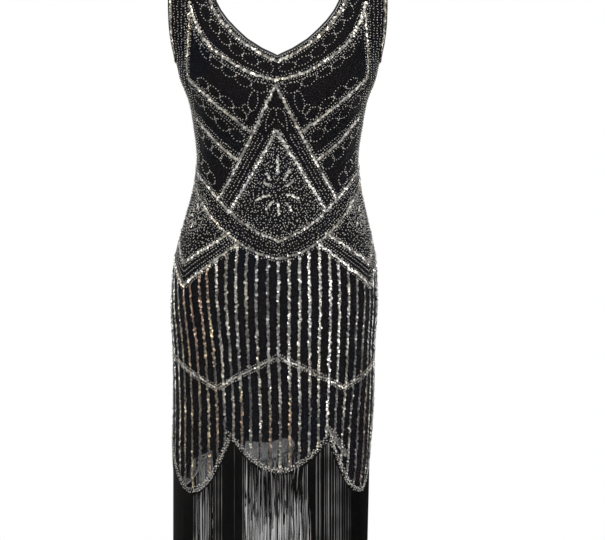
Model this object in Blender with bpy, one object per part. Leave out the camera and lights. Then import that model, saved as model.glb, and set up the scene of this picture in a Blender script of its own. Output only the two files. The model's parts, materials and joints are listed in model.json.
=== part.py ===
"""A sleeveless flapper dress, hollow and filled out as if worn, with nobody in it.

A front and a back panel make one wall round the body, with a lining inside. The neck and the armholes are
bound, the scalloped hem is beaded, and a fringe hangs from the scallops.

Metres, +Z up. The origin is midway between the two shoulder seams, where the wearer carries the dress. The
front faces -Y, and +X is the wearer's left.

Two numbers place a point on the dress. level runs up the profile from the hem to the shoulder seam. column
counts the skirt's sequin columns round the body from the centre front: 14 is the left side seam and 28 the
centre back.
"""

import math
from collections import namedtuple

import bmesh
import bpy
import numpy as np

# ---- driving sizes -----------------------------------------------------------------------------------------

COLUMNS_ROUND = 56  # spaces between sequin columns, all round
SEAM_COLUMN = COLUMNS_ROUND // 4
BACK_COLUMN = COLUMNS_ROUND // 2

CLOTH = 0.0011  # thickness of the beaded shell
LINING = 0.0010
LAYER_GAP = 0.0004  # between the shell and its lining
SEAM_GAP = 0.0004  # between two panels that are sewn together

Profile = namedtuple("Profile", "height half_width front back squareness sway turn")
# half_width, front and back are the reach of the section from the body's axis. squareness is the exponent of
# its superellipse. sway moves a section sideways, and turn slides the cloth round it.
PROFILE = (
    Profile(-0.930, 0.1548, 0.1000, 0.1020, 2.40, -0.0150, 0.0158),  # lowest scallop
    Profile(-0.850, 0.1597, 0.1030, 0.1060, 2.40, -0.0108, 0.0146),
    Profile(-0.770, 0.1620, 0.1080, 0.1130, 2.40, -0.0072, 0.0122),  # thigh
    Profile(-0.690, 0.1628, 0.1150, 0.1240, 2.40, -0.0068, 0.0085),
    Profile(-0.605, 0.1664, 0.1220, 0.1320, 2.40, -0.0056, 0.0050),  # hip
    Profile(-0.540, 0.1622, 0.1210, 0.1260, 2.35, -0.0042, 0.0020),
    Profile(-0.479, 0.1482, 0.1130, 0.1110, 2.30, -0.0026, 0.0000),  # belly
    Profile(-0.425, 0.1352, 0.1020, 0.0940, 2.20, -0.0012, 0.0000),
    Profile(-0.378, 0.1306, 0.0960, 0.0860, 2.20, -0.0006, 0.0000),  # waist
    Profile(-0.330, 0.1364, 0.1000, 0.0900, 2.20, 0.0000, 0.0000),
    Profile(-0.285, 0.1452, 0.1070, 0.0955, 2.30, 0.0000, 0.0000),  # bust
    Profile(-0.250, 0.1590, 0.1080, 0.0985, 2.30, 0.0000, 0.0000),
    Profile(-0.220, 0.1665, 0.1065, 0.1000, 2.30, 0.0000, 0.0000),  # underarm
    Profile(-0.186, 0.1830, 0.1010, 0.1010, 2.35, 0.0000, 0.0000),
    Profile(-0.148, 0.1900, 0.0940, 0.0980, 2.40, 0.0000, 0.0000),  # chest
    Profile(-0.105, 0.1930, 0.0820, 0.0890, 2.40, 0.0000, 0.0000),
    Profile(-0.066, 0.1945, 0.0675, 0.0745, 2.40, 0.0000, 0.0000),
    Profile(-0.034, 0.1950, 0.0490, 0.0550, 2.40, 0.0000, 0.0000),
    Profile(-0.011, 0.1950, 0.0280, 0.0310, 2.40, 0.0000, 0.0000),
    Profile(0.0000, 0.1950, 0.0003, 0.0003, 2.40, 0.0000, 0.0000),  # shoulder seam
)
UNDERARM = -0.220
SHOULDER_SLOPE = 0.28  # fall of the strap outward from its inner end
SLOPE_FROM = -0.120  # the slope fades in above this height

Edge = namedtuple("Edge", "height half_width")
FRONT_NECK = (
    Edge(-0.2235, 0.0000),
    Edge(-0.2112, 0.0260),
    Edge(-0.1955, 0.0500),
    Edge(-0.1795, 0.0670),
    Edge(-0.1640, 0.0815),
    Edge(-0.1480, 0.0930),
    Edge(-0.1320, 0.1010),
    Edge(-0.0900, 0.1100),
    Edge(-0.0450, 0.1140),
    Edge(0.0000, 0.1150),
)
BACK_NECK = (
    Edge(-0.2450, 0.0000),
    Edge(-0.2300, 0.0310),
    Edge(-0.2100, 0.0580),
    Edge(-0.1850, 0.0800),
    Edge(-0.1550, 0.0960),
    Edge(-0.1250, 0.1050),
    Edge(-0.1000, 0.1090),
    Edge(-0.0600, 0.1125),
    Edge(-0.0300, 0.1140),
    Edge(0.0000, 0.1150),
)
ARMHOLE = (
    Edge(-0.2200, 0.1665),
    Edge(-0.2120, 0.1672),
    Edge(-0.2000, 0.1692),
    Edge(-0.1860, 0.1716),
    Edge(-0.1650, 0.1734),
    Edge(-0.1400, 0.1742),
    Edge(-0.1050, 0.1740),
    Edge(-0.0700, 0.1725),
    Edge(-0.0350, 0.1690),
    Edge(0.0000, 0.1650),
)

BUST_HEIGHT = -0.272
BUST_HALF_SPACING = 0.078
BUST_FULLNESS = 0.019
BUST_SPREAD_X = 0.046
BUST_SPREAD_Z = 0.050

SCALLOP_PEAK = -0.828  # height of the points between scallops
Scallop = namedtuple("Scallop", "from_column to_column drop")
SCALLOPS = (  # of one quarter of the hem. The middle one is cut at the centre front or back
    Scallop(-5.0, 5.0, 0.0535),
    Scallop(5.0, 14.0, 0.0870),
)
SCALLOP_ZONE_TOP = -0.795  # rows above this height are level

LiningHem = namedtuple("LiningHem", "column height")
LINING_HEM = (  # uneven, and short enough to leave the lower net of the middle and right scallops sheer
    LiningHem(-28.0, -0.838),
    LiningHem(-18.0, -0.845),
    LiningHem(-12.0, -0.885),
    LiningHem(-10.3, -0.893),
    LiningHem(-9.6, -0.860),
    LiningHem(-6.5, -0.852),
    LiningHem(-4.0, -0.836),
    LiningHem(-3.0, -0.830),
    LiningHem(0.0, -0.827),
    LiningHem(2.0, -0.819),
    LiningHem(2.8, -0.850),
    LiningHem(5.0, -0.838),
    LiningHem(7.5, -0.885),
    LiningHem(9.5, -0.898),
    LiningHem(12.0, -0.880),
    LiningHem(18.0, -0.845),
    LiningHem(28.0, -0.838),
)

# Across the binding, in millimetres: how far past the cloth's edge, and how far out of the shell's face.
BINDING_SECTION = ((0.5, 0.5), (2.2, 0.8), (3.7, -0.2), (3.7, -2.4), (2.2, -3.4), (0.5, -3.1))

HEM_BEADING_WIDTH = 0.0060
HEM_BEADING_HEIGHT = 0.0014
HEM_BEADING_SET_BACK = 0.0010  # from the edge of the scallop

TAPE_HEIGHT = 0.0050  # the woven head of the fringe
TAPE_THICKNESS = 0.0010
TAPE_GAP = 0.0004  # below the edge it is sewn to
TAPE_END = 0.01  # share of a column left free at each side seam
STRANDS_EACH = 100  # about as many in the front fringe, and in the back one
STRAND_SHARE = 0.45  # of the pitch, the rest being the gap
FRINGE_LENGTH = 0.190

# ---- the body of the dress as one smooth surface -----------------------------------------------------------

QUARTER_SAMPLES = 361
STEP = 0.0015  # along the surface, for normals


def hermite(knots, values, at):
    """Smooth curve through values at knots, for each column of values."""
    slopes = np.gradient(values, knots, axis=0)
    slopes[-1] = (values[-1] - values[-2]) / (knots[-1] - knots[-2])
    i = int(np.clip(np.searchsorted(knots, at) - 1, 0, len(knots) - 2))
    width = knots[i + 1] - knots[i]
    u = (at - knots[i]) / width
    return (
        (2 * u**3 - 3 * u**2 + 1) * values[i]
        + (u**3 - 2 * u**2 + u) * width * slopes[i]
        + (3 * u**2 - 2 * u**3) * values[i + 1]
        + (u**3 - u**2) * width * slopes[i + 1]
    )


PROFILE_VALUES = np.array(PROFILE)
PROFILE_STEPS = np.hypot(np.diff(PROFILE_VALUES[:, 0]), np.diff(PROFILE_VALUES[:, 2]))
LEVELS = np.concatenate([[0.0], np.cumsum(PROFILE_STEPS)])
TOP_LEVEL = float(LEVELS[-1])
FINE_LEVELS = np.linspace(0.0, TOP_LEVEL, 1201)
FINE_HEIGHTS = np.array([hermite(LEVELS, PROFILE_VALUES, t)[0] for t in FINE_LEVELS])


def level_at(height):
    """Level of a height on the dress."""
    return float(np.interp(height, FINE_HEIGHTS, FINE_LEVELS))


def smoothstep(x):
    x = min(max(x, 0.0), 1.0)
    return x * x * (3 - 2 * x)


def bust(x, height):
    """How far the front stands out at the bust."""
    rise = math.exp(-((height - BUST_HEIGHT) ** 2) / (2 * BUST_SPREAD_Z**2))
    left = np.exp(-((x - BUST_HALF_SPACING) ** 2) / (2 * BUST_SPREAD_X**2))
    right = np.exp(-((x + BUST_HALF_SPACING) ** 2) / (2 * BUST_SPREAD_X**2))
    return BUST_FULLNESS * rise * (left + right)


SECTION_CACHE = {}


def section(level):
    """The section at a level: its profile row, and x, y and length along its front and back quarters."""
    key = round(level, 7)
    if key in SECTION_CACHE:
        return SECTION_CACHE[key]
    row = Profile(*hermite(LEVELS, PROFILE_VALUES, level))
    angle = np.linspace(0.0, math.pi / 2, QUARTER_SAMPLES)
    power = 2.0 / row.squareness
    across = np.sin(angle) ** power
    along = np.clip(np.cos(angle), 0.0, 1.0) ** power
    x = row.half_width * across
    quarters = []
    for y in (-(row.front * along + bust(x, row.height) * along), row.back * along):
        steps = np.hypot(np.diff(x), np.diff(y))
        quarters.append((x, y, np.concatenate([[0.0], np.cumsum(steps)])))
    SECTION_CACHE[key] = (row, quarters[0], quarters[1])
    return SECTION_CACHE[key]


def girth(level):
    _, front, back = section(level)
    return 2 * (front[2][-1] + back[2][-1])


def point(level, arc):
    """A point of the shell's outer face. arc is the length round the section from its front, towards +X."""
    row, front, back = section(level)
    round_it = girth(level)
    arc = (arc + round_it / 2) % round_it - round_it / 2
    side = 1.0 if arc >= 0 else -1.0
    if abs(arc) <= front[2][-1]:
        x_of, y_of, length = front
        reach = abs(arc)
    else:
        x_of, y_of, length = back
        reach = round_it / 2 - abs(arc)
    x = float(np.interp(reach, length, x_of))
    y = float(np.interp(reach, length, y_of))
    slope = SHOULDER_SLOPE * smoothstep((row.height - SLOPE_FROM) / -SLOPE_FROM)
    height = row.height - slope * (x - FRONT_NECK[-1].half_width)
    return np.array([row.sway + side * x, y, height])


def normal(level, arc):
    """Outward normal of the shell there."""
    low, high = max(level - STEP, 0.0), min(level + STEP, TOP_LEVEL)
    # A point keeps its share of the girth between the two levels.
    share = arc / girth(level)
    up = point(high, share * girth(high)) - point(low, share * girth(low))
    round_it = point(level, arc + STEP) - point(level, arc - STEP)
    out = np.cross(round_it, up)
    if level > TOP_LEVEL - STEP:
        out[1] = 0.0  # the front and the back meet in one tangent plane at the shoulder seam
    return out / np.linalg.norm(out)


def arc_of_column(level, column):
    """Arc of a column: 14 spaces to the side seam, then 14 more to the centre back."""
    row, front, back = section(level)
    ahead = min(abs(column), SEAM_COLUMN) / SEAM_COLUMN * front[2][-1]
    behind = max(abs(column) - SEAM_COLUMN, 0) / SEAM_COLUMN * back[2][-1]
    return math.copysign(ahead + behind, column) + row.turn


def arc_of_width(level, half_width, back):
    """Arc, on the +X side, where the section reaches half_width."""
    _, front_quarter, back_quarter = section(level)
    x_of, _, length = back_quarter if back else front_quarter
    reach = float(np.interp(half_width, x_of, length))
    return girth(level) / 2 - reach if back else reach


def edge_width(edges, height):
    """half_width of an edge's table at a height, 0 below the table."""
    heights = [e.height for e in edges]
    widths = [e.half_width for e in edges]
    return float(np.interp(height, heights, widths, left=0.0))


def scallop_height(column):
    """Height of the shell's lower edge."""
    off = abs((column + BACK_COLUMN) % COLUMNS_ROUND - BACK_COLUMN)
    quarter = min(off, BACK_COLUMN - off)
    for scallop in SCALLOPS:
        if scallop.from_column <= quarter <= scallop.to_column:
            middle = (scallop.from_column + scallop.to_column) / 2
            half = (scallop.to_column - scallop.from_column) / 2
            return SCALLOP_PEAK - scallop.drop * (1 - ((quarter - middle) / half) ** 2)
    return SCALLOP_PEAK


def lining_height(column):
    """Height of the lining's lower edge."""
    return float(np.interp(column, [h.column for h in LINING_HEM], [h.height for h in LINING_HEM]))


# ---- panels as grids of points -----------------------------------------------------------------------------

Grid = namedtuple("Grid", "points normals faces rows")
# rows holds, for each row from the hem up, {side: [vertex numbers from the side or armhole to the centre or
# neck]}, where side is -1 for the wearer's right and 1 for the left

SCALLOP_ROWS = (0.0, 0.30, 0.65)  # shares of the way from the hem to SCALLOP_ZONE_TOP
LEVEL_ROWS = 16  # from SCALLOP_ZONE_TOP to the underarm
ROW_CLEARANCE = 0.004  # the least height between a level row and the point of the V
UPPER_ROWS = (-0.2170, -0.2105, -0.196, -0.172, -0.142, -0.108, -0.074, -0.043, -0.018, -0.005, 0.0)


class PanelBuilder:
    """Lays the points of one panel row by row, and joins the rows with faces."""

    def __init__(self, back, hem):
        self.back = back
        self.fine = SEAM_COLUMN  # spaces across half of the panel below the neck
        self.coarse = SEAM_COLUMN // 2  # and beside the neck
        self.hem = hem
        self.neck = BACK_NECK if back else FRONT_NECK
        self.points, self.normals, self.faces, self.rows = [], [], [], []

    def add(self, level, arc):
        self.points.append(point(level, arc))
        self.normals.append(normal(level, arc))
        return len(self.points) - 1

    def column(self, side, share):
        """Column at a share of the way from the side seam to the panel's centre."""
        off = SEAM_COLUMN * (1 - share)
        return side * (BACK_COLUMN - off if self.back else off)

    def closed_row(self, height_of):
        """A row from side seam to side seam. height_of gives its height at a column."""
        row = {-1: [], 1: []}
        for side in (-1, 1):
            for j in range(self.fine + 1):
                if j == self.fine and side == 1:
                    row[side].append(row[-1][-1])  # both halves share the centre
                    continue
                column = self.column(side, j / self.fine)
                level = level_at(height_of(column))
                arc = arc_of_column(level, column)
                if j == 0:
                    arc += (side if self.back else -side) * SEAM_GAP / 2
                row[side].append(self.add(level, arc))
        self.rows.append(row)

    def open_row(self, height):
        """A row of two straps, each from the armhole or side seam to the neck."""
        level = level_at(height) if height < 0 else TOP_LEVEL
        inner = arc_of_width(level, edge_width(self.neck, height), self.back)
        if height > UNDERARM:
            outer = arc_of_width(level, edge_width(ARMHOLE, height), self.back)
        else:
            outer = arc_of_column(level, SEAM_COLUMN) + (1 if self.back else -1) * SEAM_GAP / 2
        row = {}
        for side in (-1, 1):
            arcs = np.linspace(side * outer, side * inner, self.coarse + 1)
            row[side] = [self.add(level, arc) for arc in arcs]
        self.rows.append(row)

    def triangles(self, quad):
        """A quad's two triangles, split along the diagonal that stands further out."""
        a, b, c, d = (self.points[v] for v in quad)
        out = sum(self.normals[v] for v in quad)
        if (a + c - b - d) @ out > 0:
            return [(quad[0], quad[1], quad[2]), (quad[0], quad[2], quad[3])]
        return [(quad[0], quad[1], quad[3]), (quad[1], quad[2], quad[3])]

    def join(self):
        """Faces between the rows."""
        for low, high in zip(self.rows[:-1], self.rows[1:], strict=True):
            for side in (-1, 1):
                a, b = low[side], high[side]
                ratio = (len(a) - 1) // (len(b) - 1)
                for j in range(len(b) - 1):
                    fine = a[j * ratio : (j + 1) * ratio + 1]
                    faces = [(fine[i], fine[i + 1], b[j]) for i in range(len(fine) - 2)]
                    faces += self.triangles((fine[-2], fine[-1], b[j + 1], b[j]))
                    flip = (side == 1) != self.back
                    self.faces += [face[::-1] if flip else face for face in faces]

    def grid(self):
        rows_up = np.linspace(SCALLOP_ZONE_TOP, UNDERARM, LEVEL_ROWS + 1)
        for share in SCALLOP_ROWS:
            self.closed_row(lambda c, s=share: self.hem(c) + s * (SCALLOP_ZONE_TOP - self.hem(c)))
        open_from = self.neck[0].height
        for height in rows_up:
            if height < open_from - ROW_CLEARANCE:
                self.closed_row(lambda c, h=height: float(h))
        self.closed_row(lambda c: open_from)
        for height in (UNDERARM,) + UPPER_ROWS:
            self.open_row(height)
        self.join()
        return Grid(np.array(self.points), np.array(self.normals), self.faces, self.rows)


def panel_grid(back, hem):
    return PanelBuilder(back, hem).grid()


# ---- solids ------------------------------------------------------------------------------------------------


def new_object(name, points, faces, material):
    mesh = bpy.data.meshes.new(name)
    mesh.from_pydata([tuple(p) for p in points], [], faces)
    mesh.materials.append(material)
    work = bmesh.new()
    work.from_mesh(mesh)
    bmesh.ops.recalc_face_normals(work, faces=work.faces)
    work.to_mesh(mesh)
    work.free()
    mesh.shade_smooth()
    mesh.set_sharp_from_angle(angle=math.radians(40))
    obj = bpy.data.objects.new(name, mesh)
    bpy.context.scene.collection.objects.link(obj)
    return obj


def cloth_wall(name, grid, depth, thickness, material):
    """A closed wall of cloth whose outer face lies depth inside the grid's points."""
    count = len(grid.points)
    outer = grid.points - grid.normals * depth
    inner = grid.points - grid.normals * (depth + thickness)
    faces = list(grid.faces) + [tuple(count + v for v in face[::-1]) for face in grid.faces]
    edges = {}
    for face in grid.faces:
        for a, b in zip(face, face[1:] + face[:1], strict=True):
            edges[(a, b)] = (b, a) not in edges
            if (b, a) in edges:
                edges[(b, a)] = False
    faces += [(b, a, count + a, count + b) for (a, b), is_rim in edges.items() if is_rim]
    return new_object(name, np.vstack([outer, inner]), faces, material)


def ring_solid(name, sections, material, closed):
    """A solid swept through sections of equal length, each a list of points in order round it."""
    count, size = len(sections), len(sections[0])
    faces = []
    for i in range(count if closed else count - 1):
        a, b = i * size, (i + 1) % count * size
        faces += [(a + j, a + (j + 1) % size, b + (j + 1) % size, b + j) for j in range(size)]
    if not closed:
        faces.append(tuple(range(size))[::-1])
        faces.append(tuple((count - 1) * size + j for j in range(size)))
    return new_object(name, [p for s in sections for p in s], faces, material)


def unit(vector):
    return vector / np.linalg.norm(vector)


def binding_sections(loop):
    """Sections of a binding round a closed loop of (point, normal), with the cloth on the left of the loop."""
    count = len(loop)
    sections = []
    for i, (p, n) in enumerate(loop):
        before = unit(p - loop[i - 1][0])
        after = unit(loop[(i + 1) % count][0] - p)
        off_before = unit(np.cross(before, n))
        off_after = unit(np.cross(after, n))
        off = unit(off_before + off_after)
        mitre = 1 / float(off @ off_before)
        sections.append([p + (off * d * mitre + n * h) / 1000 for d, h in BINDING_SECTION])
    return sections


def grid_edge(grid, side, end, first_row=0):
    """(point, normal) up one edge of a panel. end is 0 for the side and armhole, -1 for the neck."""
    numbers = [row[side][end] for row in grid.rows[first_row:]]
    return [(grid.points[v], grid.normals[v]) for v in numbers]


def neck_row(grid):
    """The row at the point of the V, one below the first whose halves are apart."""
    return next(i for i, row in enumerate(grid.rows) if row[-1][-1] != row[1][-1]) - 1


def armhole_row(grid):
    """The row at the underarm, where the side seam ends."""
    return len(grid.rows) - len(UPPER_ROWS) - 1


def middle_of(a, b):
    return ((a[0] + b[0]) / 2, unit(a[1] + b[1]))


def make_neck_binding(front, back, material):
    """One loop: up the left of the front neck, down the back, and up and over the other side."""
    loop = []
    for side in (1, -1):
        up = grid_edge(front, side, -1, neck_row(front))
        down = grid_edge(back, side, -1, neck_row(back))[::-1]
        over = [middle_of(up[-1], down[0])]
        run = up[:-1] + over + down[1:]
        loop += run[:-1] if side == 1 else run[::-1][:-1]
    return ring_solid("neck_binding", binding_sections(loop[::-1]), material, closed=True)


def make_armhole_binding(name, front, back, side, material):
    up = grid_edge(front, side, 0, armhole_row(front))
    down = grid_edge(back, side, 0, armhole_row(back))[::-1]
    loop = [middle_of(down[-1], up[0])] + up[1:-1] + [middle_of(up[-1], down[0])] + down[1:-1]
    if side == -1:
        loop = loop[::-1]
    return ring_solid(name, binding_sections(loop), material, closed=True)


def row_line(grid, number):
    """(point, normal) along a closed row of a panel, from its -X end to its +X end."""
    row = grid.rows[number]
    return [(grid.points[v], grid.normals[v]) for v in row[-1] + row[1][-2::-1]]


def hem_line(grid):
    """(point, normal) along the lower edge of a panel, from its -X end to its +X end."""
    return row_line(grid, 0)


def steepness(a, b):
    """Length of a stretch of the hem over its level run."""
    return np.linalg.norm(b - a) / np.hypot(*(b - a)[:2])


def make_hem_beading(name, grid, material):
    """A raised line of beads just above the edge of the scallops, as wide everywhere across its run."""
    line, above = hem_line(grid), row_line(grid, 1)
    sections = []
    for i, (p, n) in enumerate(line):
        neighbours = [line[j][0] for j in (i - 1, i + 1) if 0 <= j < len(line)]
        steep = max(steepness(p, q) for q in neighbours)
        length = np.linalg.norm(above[i][0] - p)
        low = HEM_BEADING_SET_BACK * steep / length
        high = low + HEM_BEADING_WIDTH * steep / length
        lower, upper = between((p, n), above[i], low), between((p, n), above[i], high)
        base, top = LAYER_GAP, LAYER_GAP + HEM_BEADING_HEIGHT
        corners = ((lower, base), (upper, base), (upper, top), (lower, top))
        sections.append([at + out * height for (at, out), height in corners])
    return ring_solid(name, sections, material, closed=False)


def between(a, b, share):
    """A (point, normal) part of the way from one to another."""
    return (a[0] + (b[0] - a[0]) * share, unit(a[1] + (b[1] - a[1]) * share))


def make_fringe(name, grid, material):
    """The fringe of one panel: a tape under the edge of the scallops, and the strands that grow out of it."""
    line = hem_line(grid)
    line[0] = between(line[0], line[1], TAPE_END)
    line[-1] = between(line[-1], line[-2], TAPE_END)
    runs = [np.linalg.norm(b[0] - a[0]) for a, b in zip(line[:-1], line[1:], strict=True)]
    pitch = sum(runs) / STRANDS_EACH
    places, knots = [line[0]], [0]  # where the tape and its strands have corners, and which are the hem's own
    for a, b, run in zip(line[:-1], line[1:], runs, strict=True):
        strands = max(round(run / pitch), 1)
        for i in range(strands):
            for side in (-0.5, 0.5):
                places.append(between(a, b, (i + 0.5 + side * STRAND_SHARE) / strands))
        places.append(b)
        knots.append(len(places) - 1)
    down = np.array([0.0, 0.0, -1.0])
    points, faces = [], []
    corners = []  # vertex numbers at each place: top outer, top inner, bottom outer, bottom inner
    for p, n in places:
        flat = unit(np.array([n[0], n[1], 0.0]))
        top = p + down * TAPE_GAP
        bottom = top + down * TAPE_HEIGHT
        corners.append(range(len(points), len(points) + 4))
        points += [top, top - flat * TAPE_THICKNESS, bottom, bottom - flat * TAPE_THICKNESS]
    for first, last in zip(knots[:-1], knots[1:], strict=True):
        a, b = corners[first], corners[last]
        faces.append(tuple([b[0], a[0]] + [corners[i][2] for i in range(first, last + 1)]))
        faces.append(tuple([a[1], b[1]] + [corners[i][3] for i in range(last, first - 1, -1)]))
        faces.append((a[0], b[0], b[1], a[1]))
        for i in range(first, last):
            root = [corners[i][2], corners[i + 1][2], corners[i + 1][3], corners[i][3]]
            if (i - first) % 2 == 1:  # a strand, and otherwise a gap
                tip = range(len(points), len(points) + 4)
                points += [points[v] + down * (FRINGE_LENGTH - TAPE_HEIGHT) for v in root]
                for j in range(4):
                    k = (j + 1) % 4
                    faces.append((root[k], root[j], tip[j], tip[k]))
                root = list(tip)
            faces.append(tuple(root[::-1]))
    faces.append((corners[0][0], corners[0][1], corners[0][3], corners[0][2]))
    faces.append((corners[-1][1], corners[-1][0], corners[-1][2], corners[-1][3]))
    used = sorted({v for face in faces for v in face})
    renumber = {v: i for i, v in enumerate(used)}
    faces = [tuple(renumber[v] for v in face) for face in faces]
    return new_object(name, [points[v] for v in used], faces, material)


# ---- materials and the whole dress -------------------------------------------------------------------------


def finish(name, colour, roughness, metallic=0.0):
    material = bpy.data.materials.new(name)
    material.use_nodes = True
    shader = material.node_tree.nodes["Principled BSDF"]
    shader.inputs["Base Color"].default_value = (*colour, 1.0)
    shader.inputs["Roughness"].default_value = roughness
    shader.inputs["Metallic"].default_value = metallic
    return material


def main():
    for obj in list(bpy.data.objects):
        bpy.data.objects.remove(obj)
    mesh_cloth = finish("black mesh cloth", (0.012, 0.012, 0.016), 0.75)
    lining_cloth = finish("black lining", (0.008, 0.008, 0.009), 0.55)
    binding = finish("black binding", (0.010, 0.010, 0.011), 0.60)
    beading = finish("silver beading", (0.62, 0.60, 0.56), 0.30, 0.9)
    thread = finish("black fringe", (0.009, 0.009, 0.010), 0.45)

    front = panel_grid(back=False, hem=scallop_height)
    back = panel_grid(back=True, hem=scallop_height)
    cloth_wall("shell_front", front, 0.0, CLOTH, mesh_cloth)
    cloth_wall("shell_back", back, 0.0, CLOTH, mesh_cloth)

    for name, is_back in (("lining_front", False), ("lining_back", True)):
        grid = panel_grid(back=is_back, hem=lining_height)
        cloth_wall(name, grid, CLOTH + LAYER_GAP, LINING, lining_cloth)

    make_neck_binding(front, back, binding)
    make_armhole_binding("armhole_binding_left", front, back, 1, binding)
    make_armhole_binding("armhole_binding_right", front, back, -1, binding)
    make_hem_beading("hem_beading_front", front, beading)
    make_hem_beading("hem_beading_back", back, beading)
    make_fringe("fringe_front", front, thread)
    make_fringe("fringe_back", back, thread)


main()
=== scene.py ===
# %% [markdown]
# # A beaded flapper dress
# The dress hangs open and filled out, as if somebody wore it. Its cloth is black net over a short black slip.
# Thousands of cup sequins and glass beads are sewn on in stripes, chevrons and chains, and a deep fringe hangs
# from the scallops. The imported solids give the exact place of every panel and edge. This script lays fine cloth
# and real beadwork on the same form.

import json
import math
from collections import defaultdict, namedtuple

import bmesh
import bpy
import numpy as np
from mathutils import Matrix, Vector

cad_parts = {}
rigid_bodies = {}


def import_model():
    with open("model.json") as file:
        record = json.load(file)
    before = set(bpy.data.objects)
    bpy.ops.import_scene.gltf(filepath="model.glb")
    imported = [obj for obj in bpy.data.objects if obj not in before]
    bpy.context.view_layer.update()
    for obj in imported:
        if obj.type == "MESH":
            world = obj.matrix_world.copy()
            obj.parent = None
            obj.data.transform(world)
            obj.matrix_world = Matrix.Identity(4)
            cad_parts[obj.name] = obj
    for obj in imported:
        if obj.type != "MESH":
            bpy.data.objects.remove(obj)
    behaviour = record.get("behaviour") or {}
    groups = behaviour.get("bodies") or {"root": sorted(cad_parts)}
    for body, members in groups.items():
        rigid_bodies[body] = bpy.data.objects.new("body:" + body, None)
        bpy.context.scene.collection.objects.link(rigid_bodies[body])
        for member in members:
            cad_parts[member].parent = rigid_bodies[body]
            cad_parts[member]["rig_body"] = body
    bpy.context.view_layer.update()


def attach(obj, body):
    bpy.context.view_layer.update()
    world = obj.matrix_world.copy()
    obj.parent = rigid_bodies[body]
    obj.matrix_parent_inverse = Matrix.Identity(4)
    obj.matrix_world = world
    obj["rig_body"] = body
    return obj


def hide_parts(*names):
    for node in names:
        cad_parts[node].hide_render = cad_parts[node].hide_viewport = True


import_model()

# %% [markdown]
# ## The studio
# A dress shop photographs a dress from the front with a long lens, so that the sides round away without
# bulging. The camera looks level at the hips. Black cloth and mirror sequins need broad soft lights: a sequin
# shows whatever it faces, so a bright sheet to one side lights one flank of the skirt and leaves the middle
# darker. The world is white to the camera and greyer to the sequins, which keeps their sparkle.

# %% Camera
CAMERA_PLACE = (0.0397, -4.5, -0.56)
SENSOR = 36.0  # millimetres
VIEW_WIDTH = 0.98  # of what the picture takes in at the dress


def put(name, data):
    """An object of the scene that shows the data."""
    obj = bpy.data.objects.new(name, data)
    bpy.context.scene.collection.objects.link(obj)
    return obj


camera_data = bpy.data.cameras.new("camera")
camera_data.sensor_width = SENSOR
camera_data.lens = SENSOR * -CAMERA_PLACE[1] / VIEW_WIDTH
camera = put("camera", camera_data)
camera.location = CAMERA_PLACE
camera.rotation_euler = (math.radians(90), 0.0, 0.0)
bpy.context.scene.camera = camera
bpy.context.scene.view_settings.view_transform = "Standard"
print("lens", round(camera_data.lens, 1), "mm")

# %% Lights
Light = namedtuple("Light", "name place aim width height power colour")
LIGHTS = (
    Light("key", (3.0, -2.6, 0.6), (0.0, 0.0, -0.6), 1.5, 2.6, 95.0, (1.0, 0.98, 0.95)),
    Light("fill", (-3.2, -2.0, 0.2), (0.0, 0.0, -0.6), 1.4, 2.6, 60.0, (1.0, 0.95, 0.88)),
    Light("top", (0.0, -1.8, 2.6), (0.0, 0.0, -0.4), 2.4, 1.4, 55.0, (1.0, 1.0, 1.0)),
    Light("rear_left", (-2.4, 2.8, 0.6), (0.0, 0.0, -0.6), 1.4, 2.4, 60.0, (1.0, 1.0, 1.0)),
    Light("rear_right", (2.4, 2.8, 0.6), (0.0, 0.0, -0.6), 1.4, 2.4, 60.0, (1.0, 1.0, 1.0)),
)

for light in LIGHTS:
    data = bpy.data.lights.new(light.name, "AREA")
    data.shape = "RECTANGLE"
    data.size, data.size_y = light.width, light.height
    data.energy, data.color = light.power, light.colour
    lamp = put(light.name, data)
    lamp.location = light.place
    aim = Vector(light.aim) - Vector(light.place)
    lamp.rotation_euler = aim.to_track_quat("-Z", "Y").to_euler()
print(len(LIGHTS), "soft lights")

# %% [markdown]
# ## Shader maths in plain Python
# Materials are graphs of nodes. Wrapping a socket in a small class lets an expression such as `1 - mask * 0.4`
# add its own Math nodes, so that the code reads like the formula. Colours go through Mix nodes, because a Math
# node would turn them grey.


# %% A socket that does maths
def maths(operation, swapped=False):
    """A method that adds a Math node. Python's reflected operators have their two values swapped."""

    def method(self, other=0.0):
        first, second = (other, self) if swapped else (self, other)
        node = self.shading.node("ShaderNodeMath", {"operation": operation}, {0: first, 1: second})
        return Value(self.shading, node.outputs[0])

    return method


class Value:
    """A number that varies over a surface. Python's operators add Math nodes."""

    def __init__(self, shading, socket):
        self.shading = shading
        self.socket = socket

    __add__, __radd__ = maths("ADD"), maths("ADD", swapped=True)
    __sub__, __rsub__ = maths("SUBTRACT"), maths("SUBTRACT", swapped=True)
    __mul__, __rmul__ = maths("MULTIPLY"), maths("MULTIPLY", swapped=True)
    __lt__, high = maths("LESS_THAN"), maths("MAXIMUM")
    wave, size = maths("SINE"), maths("ABSOLUTE")


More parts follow.
